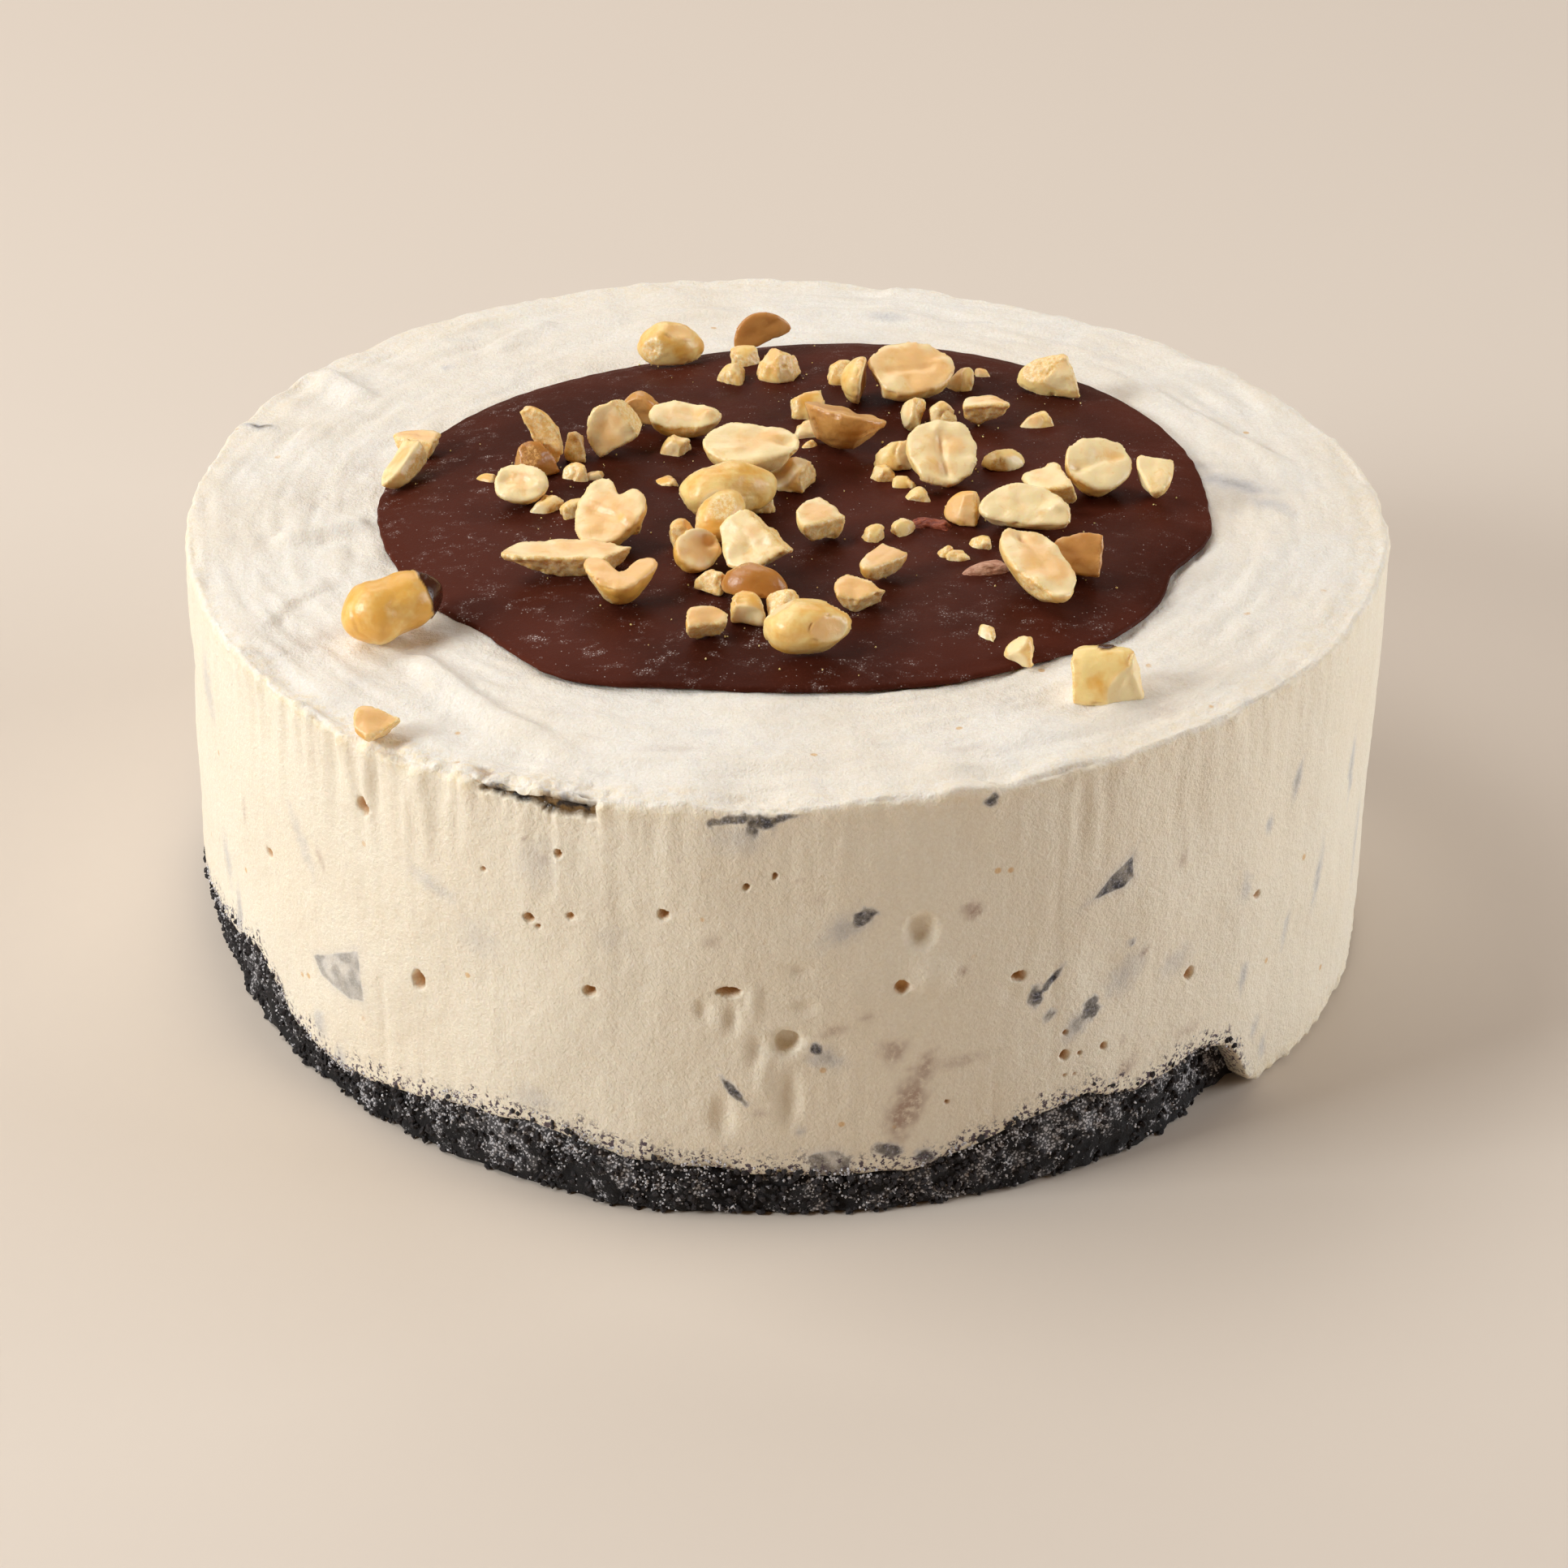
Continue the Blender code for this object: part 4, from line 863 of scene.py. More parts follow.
def roughen(body, amount, seed):
    for vertex in body.verts:
        shift = noise.noise_vector(vertex.co / (4.0 * MM) + Vector((seed, seed, 0.0)))
        vertex.co += shift * amount


def surface_distance(body, kind, points):
    """How far each point is from the body's faces of one kind."""
    faces = [[vertex.index for vertex in face.verts] for face in body.faces if face.material_index == kind]
    if not faces:
        return np.full(len(points), 1.0)
    tree = BVHTree.FromPolygons([vertex.co for vertex in body.verts], faces)
    return np.array([tree.find_nearest(point)[3] for point in points.tolist()])


def closeness(distance, reach):
    return np.exp(-((distance / reach) ** 2))


def nut_relief(points, size, germ, groove, inner, broken, seed):
    """How far each point of a nut is pushed out: plump lobes and groove, germ or socket, and rough breaks."""
    x, y = points[:, 0], points[:, 1]
    along = np.clip(x / (0.5 * size[0] * MM), -1.0, 1.0)
    across = y / (0.5 * size[1] * MM)
    lobes = (1.0 - (2.0 * np.abs(across) - 1.0) ** 2) * (1.0 - along ** 4)
    relief = inner * (0.12 + 0.45 * groove) * MM * np.clip(lobes, 0.0, 1.0)
    relief += inner * noise_field(points, 3.0 * MM, seed + 6.0) * 0.4 * MM
    wander = 0.5 * MM * np.sin(2.2 * along + seed)
    line = closeness(y - wander, 0.75 * MM) * (1.0 - smooth_step(0.55, 0.95, np.abs(along)))
    relief -= inner * line * groove * MM
    if germ:
        end, kind = germ
        nub = closeness(np.hypot((x - end * 0.34 * size[0] * MM) / 1.5, y / 0.9), 1.0 * MM)
        relief += inner * nub * 0.95 * MM * kind
    fine = noise_field(points, 1.5 * MM, seed) * 0.2 + noise_field(points, 0.7 * MM, seed + 9.0) * 0.1
    relief += broken * fine * MM
    relief += noise_field(points, 4.2 * MM, seed + 4.0) * 0.12 * MM
    folds = 1.0 - np.abs(noise_field(points, np.array((9.0, 3.4, 3.4)) * MM, seed + 5.0)) * 5.0
    relief -= (1.0 - broken) * (1.0 - 0.7 * inner) * np.clip(folds, 0.0, 1.0) * 0.12 * MM
    nibbled = closeness(inner - 0.5, 0.35) * smooth_step(0.1, 0.45, noise_field(points, 1.9 * MM, seed + 7.0))
    return relief - nibbled * 0.45 * MM


def dip_share(points, size, dip, seed):
    """1 where chocolate clings to the nut, with a ragged edge."""
    if not dip:
        return np.zeros(len(points))
    spot = 0.5 * np.array(dip[0]) * size * MM
    away = np.linalg.norm(points - spot, axis=1) / MM + 0.4 * noise_field(points, 1.6 * MM, seed)
    return 1.0 - smooth_step(dip[1] - 0.12, dip[1] + 0.12, away)


def nut_mesh(name, form, size, seed, voxel):
    body = nut_body(form, seed)
    fit_size(body, size)
    evenness = 0.25 if form == "whole" else 1.0
    roughen(body, evenness * NUT_UNEVENNESS * size[1] * MM, seed)
    bmesh.ops.triangulate(body, faces=body.faces)
    rough = bpy.data.meshes.new(name)
    body.to_mesh(rough)

    def prepare(helper):
        even = helper.modifiers.new("even", "REMESH")
        even.mode = "VOXEL"
        even.voxel_size = voxel
        even.use_smooth_shade = True
        smooth = helper.modifiers.new("round_edges", "SMOOTH")
        smooth.factor = 0.5
        smooth.iterations = 1

    mesh = evaluated_copy(rough, prepare)
    mesh.name = name
    points = point_vectors(mesh)
    inner = closeness(surface_distance(body, INNER, points), 0.45 * MM)
    broken = closeness(surface_distance(body, BROKEN, points), 0.4 * MM)
    body.free()
    dipped = dip_share(points, size, DIPS.get(name), seed)
    relief = nut_relief(points, size, GERMS.get(name), GROOVES.get(name, 0.0), inner, broken, seed)
    relief += dipped * 0.25 * MM
    points += point_vectors(mesh, "normal") * (NUT_SWELL + relief)[:, None]
    move_points(mesh, points)
    spread = np.hypot(points[:, 0] / (0.5 * size[0] * MM), points[:, 1] / (0.5 * size[1] * MM))
    middle = inner * (1.0 - smooth_step(0.35, 0.95, spread))
    edge = 4.0 * inner * (1.0 - inner)
    tone = TONES.get(name, 0.5 + 0.5 * noise.noise(Vector((seed * 1.7, 0.3, 0.1))))
    tones = np.full(len(points), tone)
    set_attributes(mesh, inner=inner, broken=broken, dipped=dipped, middle=middle, edge=edge, tone=tones)
    return mesh


def nut_turn(nut):
    return Euler([math.radians(value) for value in (nut.roll, nut.pitch, nut.turn)])


def place_nut(mesh, nut):
    """Turns the mesh as its nut lies and centres it on the nut's own solid."""
    mesh.transform(nut_turn(nut).to_matrix().to_4x4())
    points = point_vectors(mesh)
    low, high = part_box(nut.name)
    centre = (low + high) / 2.0
    points += np.array(centre) - (points.min(0) + points.max(0)) / 2.0
    move_points(mesh, points)


def join_meshes(name, meshes):
    """One mesh from several, with their point attributes kept."""
    joined = bmesh.new()
    for mesh in meshes:
        joined.from_mesh(mesh)
    made = finished_mesh(name, joined)
    made.shade_smooth()
    return made


def make_bits(materials):
    """The crumbs of nut in the chocolate, then the two bits of red skin."""
    bits = []
    for index, (x, y, length, width, height, turn) in enumerate(NUT_BITS):
        form = ("block", "tip", "wedge")[index % 3]
        mesh = nut_mesh("crumb", form, (length, width, height), index, BIT_VOXEL)
        mesh.transform(Euler((0.0, 0.0, math.radians(turn))).to_matrix().to_4x4())
        level = ganache_top(x * MM, y * MM) + 0.5 * height * MM - BIT_SINK + BIT_RISE
        if index in (SKIN_SLIVER, SKIN_FLAKE):
            level += BIT_RISE
        move_points(mesh, point_vectors(mesh) + (x * MM, y * MM, level))
        bits.append(mesh)
    skins = (("skin_sliver", SKIN_SLIVER, "red_skin"), ("skin_flake", SKIN_FLAKE, "pink_skin"))
    for name, index, material in skins:
        add_piece(name, join_meshes(name, [bits[index]]), materials[material], "roasted_peanut", "ganache")
    plain = [mesh for index, mesh in enumerate(bits) if index not in (SKIN_SLIVER, SKIN_FLAKE)]
    add_piece("nut_bits", join_meshes("nut_bits", plain), materials["peanut"], "peanut", "ganache")
    return bits


def make_nuts(materials):
    meshes = []
    for index, nut in enumerate(NUTS):
        size = (nut.length, nut.width, nut.height)
        mesh = nut_mesh(nut.name, nut.form, size, index + 50, NUT_VOXEL)
        place_nut(mesh, nut)
        slot = "roasted_peanut" if nut.name in ROASTED else "peanut"
        add_piece("dressed_" + nut.name, mesh, materials[slot], slot, nut.name)
        meshes.append(mesh)
    return meshes


def nearness_tree(meshes):
    points = []
    faces = []
    for mesh in meshes:
        first = len(points)
        points += [vertex.co.copy() for vertex in mesh.vertices]
        faces += [[first + index for index in face.vertices] for face in mesh.polygons]
    return BVHTree.FromPolygons(points, faces)


def meniscus(points, tree, reach, height):
    """How far the soft surface climbs where a nut sits in it."""
    lift = np.zeros(len(points))
    for index, point in enumerate(points.tolist()):
        found = tree.find_nearest(point, 3.0 * reach)
        if found[3] is not None:
            lift[index] = height * math.exp(-((found[3] / reach) ** 2))
    return lift


def polar_body(columns, profiles, centre=(0.0, 0.0)):
    """A closed grid from one profile of (radius, height) rows per column, with single points on the axis."""
    body = bmesh.new()
    grid = []
    for degrees, profile in zip(columns, profiles):
        angle = math.radians(degrees)
        column = []
        for index, (radius, height) in enumerate(profile):
            if radius == 0.0 and grid:
                column.append(grid[0][index])
                continue
            spot = (centre[0] + radius * math.cos(angle), centre[1] + radius * math.sin(angle), height)
            column.append(body.verts.new(spot))
        grid.append(column)
    for step, column in enumerate(grid):
        after = grid[(step + 1) % len(grid)]
        for index in range(len(column) - 1):
            corners = (column[index], column[index + 1], after[index + 1], after[index])
            body.faces.new(dict.fromkeys(corners))
    bmesh.ops.recalc_face_normals(body, faces=body.faces)
    return body


def ganache_rows(degrees):
    """Points (radius, height above the ice cream), from the middle below to the middle above."""
    radius = ganache_radius(degrees) + 0.3 * MM * ring_noise(degrees, 0.0, 5.0 * MM, 21.0)
    points = [(0.0, GAP), (radius - 4.0 * MM, GAP), (radius - 1.0 * MM, GAP)]
    points += [(radius - back * MM, GAP + up * MM) for back, up in GANACHE_LIP]
    inner = radius - GANACHE_LIP[-1][0] * MM
    for step in range(1, GANACHE_RINGS):
        at = inner * (1.0 - step / GANACHE_RINGS)
        back = min((radius - at) / MM, GANACHE_TOP_LINE[-1][0])
        points.append((at, GAP + blend_points(GANACHE_TOP_LINE, back) * MM))
    points.append((0.0, GAP + GANACHE_THICKNESS))
    return points


def make_ganache(material, tree):
    columns = [step * 360.0 / GANACHE_COLUMNS for step in range(GANACHE_COLUMNS)]
    body = polar_body(columns, [ganache_rows(degrees) for degrees in columns], GANACHE_CENTRE)
    mesh = finished_mesh("dressed_ganache", body)
    points = point_vectors(mesh)
    share = np.clip((points[:, 2] - GAP) / GANACHE_THICKNESS, 0.0, 1.0) ** 2
    flat = points * (1.0, 1.0, 0.0)
    lift = GANACHE_RIPPLE * noise_field(flat, 16.0 * MM)
    lift += 0.25 * MM * noise_field(flat, 6.0 * MM, 5.0)
    for x, y, reach, height in GANACHE_SCARS:
        lift += height * MM * closeness(np.hypot(points[:, 0] - x * MM, points[:, 1] - y * MM), reach * MM)
    points[:, 2] += top_plane(points[:, 0], points[:, 1]) + share * lift
    points[:, 2] += share * meniscus(points, tree, 0.9 * MM, 0.5 * MM)
    move_points(mesh, points)
    mesh.shade_smooth()
    leaning = 0.6 + 0.4 * np.cos(np.radians(angles(points) - FROST_SIDE))
    far = smooth_step(*FROST_FADE, np.hypot(points[:, 0], points[:, 1]))
    set_attributes(mesh, frosted=np.clip(leaning * (0.25 + far), 0.0, 1.0))
    add_piece("dressed_ganache", mesh, material, "chocolate", "ganache")


def ice_cream_rows(degrees):
    """Points (radius, height) from the middle below, up the side and over to the middle above."""
    crust_radius, crust_height = crust_edge(degrees)
    outer = side_radius(degrees)
    angle = math.radians(degrees)
    edge_top = top_plane(outer * math.cos(angle), outer * math.sin(angle)) + rim_height(degrees)
    cover = cover_share(degrees)
    seat = crust_height + GAP
    low = seat + (FOOT_CLEARANCE - seat) * cover
    inner = min(crust_radius + 1.0 * MM, outer - 1.2 * MM)
    points = [
        (0.0, CRUST_INNER_HEIGHT + GAP),
        (crust_radius * 0.75, CRUST_INNER_HEIGHT + GAP),
        (crust_radius * 0.9, 0.5 * (crust_height + CRUST_INNER_HEIGHT) + GAP),
        (crust_shoulder(degrees), seat),
        (inner - 0.4 * MM, seat),
        (inner, low),
        (outer - 0.6 * MM, low),
        (outer - 0.15 * MM, low + 0.4 * MM),
    ]
    bottom = low + 1.0 * MM
    top = edge_top - RIM_ROUND
    points += [(outer, bottom + (top - bottom) * step / (SIDE_ROWS - 1)) for step in range(SIDE_ROWS)]
    for step in range(1, RIM_ROWS + 1):
        turn = 0.5 * math.pi * step / RIM_ROWS
        points.append((outer - RIM_ROUND * (1.0 - math.cos(turn)), top + RIM_ROUND * math.sin(turn)))
    start = outer - RIM_ROUND
    radii = [start + (TOP_FINE_RADIUS - start) * step / TOP_ROWS for step in range(1, TOP_ROWS + 1)]
    radii += [TOP_FINE_RADIUS * (1.0 - step / MIDDLE_ROWS) for step in range(1, MIDDLE_ROWS)]
    for radius in radii:
        x = radius * math.cos(angle)
        y = radius * math.sin(angle)
        fade = min(max((radius - RELIEF_FADE[0]) / (RELIEF_FADE[1] - RELIEF_FADE[0]), 0.0), 1.0)
        lift = fade * (rim_height(degrees) + RIM_RELIEF * noise.noise(Vector((x, y, 0.3)) / (11.0 * MM)))
        points.append((radius, top_plane(x, y) + lift))
    points.append((0.0, top_plane(0.0, 0.0)))
    return points


def around(theta, at):
    """Distance along the side from an angle, in millimetres."""
    return np.radians((theta - at + 180.0) % 360.0 - 180.0) * CAKE_RADIUS / MM


def oval(across, up, half_length, half_width, tilt):
    """Distance from an oval's middle, as a share of its size in that direction."""
    lean = math.radians(tilt)
    along = across * math.cos(lean) + up * math.sin(lean)
    aside = up * math.cos(lean) - across * math.sin(lean)
    return np.hypot(along / half_length, aside / half_width)


def shard_depth(theta, height, corners):
    """How far inside a convex chip each point lies, in millimetres, minus outside."""
    inside = np.full(len(theta), 99.0)
    middle = corners[0][0]
    spots = [(around(np.array([angle]), middle)[0], up) for angle, up in corners]
    across = around(theta, middle)
    for (x1, y1), (x2, y2) in zip(spots, spots[1:] + spots[:1]):
        length = math.hypot(x2 - x1, y2 - y1)
        inside = np.minimum(inside, ((x2 - x1) * (height - y1) - (y2 - y1) * (across - x1)) / length)
    return inside


def line_distance(x, y, points):
    """Signed distance from a bent line, plus on its left, and the share of the way along it."""
    best = np.full(len(x), 1e3)
    signed = np.full(len(x), 1e3)
    share = np.zeros(len(x))
    count = len(points) - 1
    for index, ((x1, y1), (x2, y2)) in enumerate(zip(points, points[1:])):
        length = math.hypot(x2 - x1, y2 - y1)
        ux, uy = (x2 - x1) / length, (y2 - y1) / length
        run = np.clip((x - x1) * ux + (y - y1) * uy, 0.0, length)
        dx, dy = x - x1 - run * ux, y - y1 - run * uy
        away = np.hypot(dx, dy)
        closer = away < best
        best = np.where(closer, away, best)
        signed = np.where(closer, np.sign(ux * dy - uy * dx) * away, signed)
        share = np.where(closer, (index + run / length) / count, share)
    return signed, share


def wants_detail(points):
    """Points of the grid near a hole, a chip or a torn slab, where the grid is made finer."""
    theta = angles(points)
    height = points[:, 2] / MM
    wanted = np.zeros(len(points), bool)
    for angle, up, width, tall, depth in HOLES:
        half_width, half_tall = 0.5 * width + DETAIL_MARGIN, 0.5 * tall + DETAIL_MARGIN
        wanted |= oval(around(theta, angle), height - up, half_width, half_tall, 0) < 1.0
    for angle, up, width, tall, depth, slope in DENTS[:SHARP_DENTS]:
        wanted |= oval(around(theta, angle), height - up, 0.6 * width, 0.6 * tall, 0) < 1.0
    for strength, corners in SHARDS:
        wanted |= shard_depth(theta, height, corners) > -1.0
    for angle, up, length, width, tilt, soft, strength in STAINS["chocolate"] + STAINS["smear"]:
        if strength > STRONG_STAIN:
            length, width = length + DETAIL_MARGIN, width + DETAIL_MARGIN
            wanted |= oval(around(theta, angle), height - up, length, width, tilt) < 1.0
    for start, end, low, high, thick in RIM_SLABS:
        inside = (theta > start - 1.0) & (theta < end + 1.0)
        wanted |= inside & (np.abs(height - 0.5 * (low + high)) < thick + 1.2)
    return wanted & (np.hypot(points[:, 0], points[:, 1]) > DETAIL_RADIUS)


def side_relief(points, theta, height):
    """How far the side is pushed out, in metres: uneven, dragged upright, with dents, creases and holes."""
    relief = SIDE_RELIEF * noise_field(points, 14.0 * MM, 3.0)
    relief += 0.10 * MM * noise_field(points, 3.0 * MM, 31.0)
    relief += 0.05 * MM * noise_field(points, 1.2 * MM, 37.0)
    rim = CAKE_HEIGHT / MM
    near_rim = smooth_step(rim - 22.0, rim - 2.0, height)
    left_front = closeness(around(theta, DRAGGED[0]), DRAGGED[1])
    drag = 0.14 + near_rim * (0.22 + 1.4 * left_front)
    relief += drag * MM * 0.6 * noise_field(points, np.array((2.4, 2.4, 30.0)) * MM, 41.0)
    relief += drag * MM * 0.3 * noise_field(points, np.array((1.3, 1.3, 12.0)) * MM, 47.0)
    for angle, up, width, tall, depth, slope in DENTS:
        away = oval(around(theta, angle), height - up, 0.5 * width, 0.5 * tall, 0)
        relief -= depth * MM * (1.0 - smooth_step(1.0 - slope, 1.15, away))
    for angle, low, high, width, depth in CREASES:
        below = 1.0 - smooth_step(high - 2.0, high + 1.0, height)
        length = smooth_step(low - 2.0, low + 2.0, height) * below
        relief -= depth * MM * length * closeness(around(theta, angle), 0.5 * width)
    return relief


def add_stain(shares, kind, away, strength, soft, spread, where):
    """Adds one stain, which fades out at its edge, to the shares of its kind."""
    full = min(STAIN_STRENGTH * strength, 1.0)
    share = full * (1.0 - smooth_step(1.0 - soft, 1.0 + spread * soft, away)) * where
    shares[kind] = np.maximum(shares[kind], share)


def make_stains(theta, height, points, side):
    """Shares of chocolate and of smear at each point of the side."""
    wobble = noise_field(points, 1.6 * MM, 61.0) + 0.9 * noise_field(points, 0.8 * MM, 63.0)
    shares = {"chocolate": np.zeros(len(theta)), "smear": np.zeros(len(theta))}
    for kind, rows in STAINS.items():
        grown = STAIN_GROWTH if kind == "chocolate" else 1.0
        for angle, up, length, width, tilt, soft, strength in rows:
            away = oval(around(theta, angle), height - up, grown * length, grown * width, tilt)
            add_stain(shares, kind, away + STAIN_WOBBLE * wobble, strength, soft, 0.35, side)
    mottle = np.clip(0.95 + 0.7 * noise_field(points, 2.4 * MM, 67.0), 0.6, 1.0)
    for strength, corners in SHARDS:
        inside = shard_depth(theta, height, corners) + 0.1 * wobble
        share = strength * mottle * smooth_step(-0.2, 0.25, inside) * side
        halo = 0.2 * strength * smooth_step(-1.8, 0.0, inside) * side
        shares["chocolate"] = np.maximum(shares["chocolate"], np.maximum(share, halo))
    return shares


def rim_slab_share(theta, height, points, side):
    share = np.zeros(len(theta))
    ragged = noise_field(points, 1.1 * MM, 71.0)
    for start, end, low, high, thick in RIM_SLABS:
        level = low + (high - low) * np.clip((theta - start) / (end - start), 0.0, 1.0)
        before_end = 1.0 - smooth_step(end - 0.2, end + 0.2, theta)
        inside = smooth_step(start - 0.2, start + 0.2, theta) * before_end
        offset = np.abs(height - level) + 0.4 * ragged
        share = np.maximum(share, inside * (1.0 - smooth_step(0.35 * thick, 0.65 * thick, offset)))
    return share * side


def top_relief(points, top):
    """How far the top is pushed up, in metres, by spatula strokes, and the marks of the brushing alone."""
    x, y = points[:, 0] / MM, points[:, 1] / MM
    radius = np.hypot(x, y)
    theta = np.arctan2(y, x)
    polar = np.stack([radius / 3.2, np.cos(theta) * 6.0, np.sin(theta) * 6.0], axis=1)
    finer = np.stack([radius / 1.5, np.cos(theta) * 11.0, np.sin(theta) * 11.0], axis=1)
    brush = noise_field(polar, 1.0, 3.0) + 0.7 * noise_field(finer, 1.0, 5.0)
    relief = 0.5 * brush
    relief += 0.45 * noise_field(points, 17.0 * MM, 81.0) + 0.13 * noise_field(points, 2.2 * MM, 83.0)
    for line, height, width in STROKES:
        away, share = line_distance(x, y, line)
        ends = smooth_step(0.0, 0.25, share) * (1.0 - smooth_step(0.75, 1.0, share))
        ramp = 1.0 - np.clip(np.where(away < 0.0, -away / width, away / 2.0), 0.0, 1.0)
        relief += 1.7 * height * ends * ramp * ramp * (3.0 - 2.0 * ramp) * (np.abs(away) < width)
    return relief * MM * top, brush * top


def make_top_stains(points, top, shares):
    x, y = points[:, 0] / MM, points[:, 1] / MM
    wobble = noise_field(points, 2.4 * MM, 91.0)
    for kind, rows in TOP_STAINS.items():
        for at_x, at_y, length, width, turn, soft, strength in rows:
            away = oval(x - at_x, y - at_y, length, width, turn) + TOP_STAIN_WOBBLE * wobble
            add_stain(shares, kind, away, strength, soft, 0.3, top)


def make_ice_cream(material, tree):
    columns = list(np.arange(*FRONT_COLUMNS)) + list(np.arange(*BACK_COLUMNS))
    columns = [float(angle) % 360.0 for angle in columns]
    body = polar_body(columns, [ice_cream_rows(degrees) for degrees in columns])
    body.verts.ensure_lookup_table()
    wanted = wants_detail(np.array([vertex.co for vertex in body.verts]))
    edges = [edge for edge in body.edges if wanted[edge.verts[0].index] and wanted[edge.verts[1].index]]
    bmesh.ops.subdivide_edges(body, edges=edges, cuts=2, use_grid_fill=True)
    mesh = finished_mesh("dressed_ice_cream", body)
    points = point_vectors(mesh)
    normals = point_vectors(mesh, "normal")
    theta = angles(points)
    height = points[:, 2] / MM
    radius = np.hypot(points[:, 0], points[:, 1])
    visible = (radius > SKIN_RADIUS) | (points[:, 2] > SKIN_HEIGHT)
    top = smooth_step(0.45, 0.9, normals[:, 2]) * visible
    side = smooth_step(0.1, 0.6, np.hypot(normals[:, 0], normals[:, 1])) * visible
    shares = make_stains(theta, height, points, side)
    slab = rim_slab_share(theta, height, points, side)
    make_top_stains(points, top, shares)
    raised, brush = top_relief(points, top)
    relief = side * side_relief(points, theta, height) + raised
    # Share of painted shade inside each air hole, following its hollow.
    pit = np.zeros(len(points))
    jagged = noise_field(points, 0.7 * MM, 51.0)
    for angle, up, width, tall, depth in HOLES:
        away = oval(around(theta, angle), height - up, 0.5 * width, 0.5 * tall, 0) + 0.18 * jagged
        hollow = (1.0 - smooth_step(0.55, 1.05, away)) * side
        relief -= depth * MM * hollow
        pit = np.maximum(pit, hollow)
    relief -= slab * 1.1 * MM
    edge_top = top_plane(points[:, 0], points[:, 1])
    rim_near = closeness(edge_top - points[:, 2], 3.0 * MM) * smooth_step(*RIM_START, radius)
    left_front = closeness(around(theta, TORN[0]), TORN[1])
    torn = rim_near * (0.5 + 1.3 * left_front)
    crumble = noise_shifts(points, 2.6 * MM, 101.0)
    finer = noise_shifts(points, 1.1 * MM, 111.0)
    covered = np.array([cover_share(angle) for angle in theta])
    foot = smooth_step(6.0, 0.0, height) * covered * (radius > FOOT_RADIUS)
    loose = (torn + foot)[:, None]
    shift = loose * (0.55 * crumble + 0.28 * finer) * MM
    lift = meniscus(points, tree, 1.0 * MM, 0.55 * MM) * top
    points = points + normals * (relief + lift)[:, None] + shift
    points[:, 2] = np.maximum(points[:, 2], 0.2 * MM)
    move_points(mesh, points)
    mesh.shade_smooth()
    seam = np.array([crust_edge(angle)[1] for angle in theta]) * (1.0 - covered) / MM
    streak = noise_field(points, np.array((1.4, 1.4, 5.0)) * MM, 121.0)
    above = (height - seam - 3.0 * (streak + 0.4)) / 4.0
    dust = side * (1.0 - smooth_step(0.0, 1.0, above)) * (1.0 - 0.9 * covered)
    ragged = np.clip(loose[:, 0], 0.0, 1.0)
    set_attributes(mesh, top=top, slab=slab, brush=brush, pit=pit * 0.85, torn=ragged, dust=dust, **shares)
    add_piece("dressed_ice_cream", mesh, material, "vanilla_ice_cream", "ice_cream")


def crust_rows(degrees):
    radius, height = crust_edge(degrees)
    waist = radius + CRUST_ROUGHNESS * ring_noise(degrees, height / 2.0, 4.0 * MM, 2.0)
    points = [(0.0, 0.0), (radius - 2.5 * MM, 0.0), (radius - 0.7 * MM, 0.0)]
    for step in range(CRUST_ROWS):
        share = step / (CRUST_ROWS - 1)
        bulge = radius + (waist - radius) * math.sin(math.pi * share) - 0.3 * MM * share
        points.append((bulge, 0.6 * MM + (height - 1.2 * MM) * share))
    shoulder = crust_shoulder(degrees)
    points += [(0.5 * (radius - 0.3 * MM + shoulder), height - 0.15 * MM), (shoulder, height)]
    points += [
        (radius * 0.9, 0.5 * (height + CRUST_INNER_HEIGHT)),
        (radius * 0.75, CRUST_INNER_HEIGHT),
        (0.0, CRUST_INNER_HEIGHT),
    ]
    return points


def make_crust(material):
    columns = [step * 360.0 / CRUST_COLUMNS for step in range(CRUST_COLUMNS)]
    body = polar_body(columns, [crust_rows(degrees) for degrees in columns])
    mesh = finished_mesh("dressed_crust", body)
    points = point_vectors(mesh)
    normals = point_vectors(mesh, "normal")
    outward = smooth_step(0.2, 0.8, np.hypot(normals[:, 0], normals[:, 1]))
    lumps = 0.55 * noise_field(points, 2.4 * MM, 11.0) + 0.35 * noise_field(points, 1.0 * MM, 13.0)
    points = points + normals * (outward * lumps * MM)[:, None]
    points[:, 2] = np.maximum(points[:, 2], 0.0)
    move_points(mesh, points)
    mesh.shade_smooth()
    set_attributes(mesh, height=points[:, 2] / (12.0 * MM))
    add_piece("dressed_crust", mesh, material, "cookie_crust", "crust")


def crumb_shapes(count, generator):
    """A few small broken lumps of unit size, as arrays of points that share one set of faces."""
    body = bmesh.new()
    bmesh.ops.create_icosphere(body, subdivisions=1, radius=1.0)
    points = np.array([vertex.co for vertex in body.verts])
    faces = np.array([[vertex.index for vertex in face.verts] for face in body.faces])
    body.free()
    shapes = []
    for number in range(count):
        stretch = np.array([generator.uniform(0.65, 1.2) for axis in range(3)])
        shapes.append(points * stretch * np.array([[generator.uniform(0.7, 1.2)] for point in points]))
    return shapes, faces


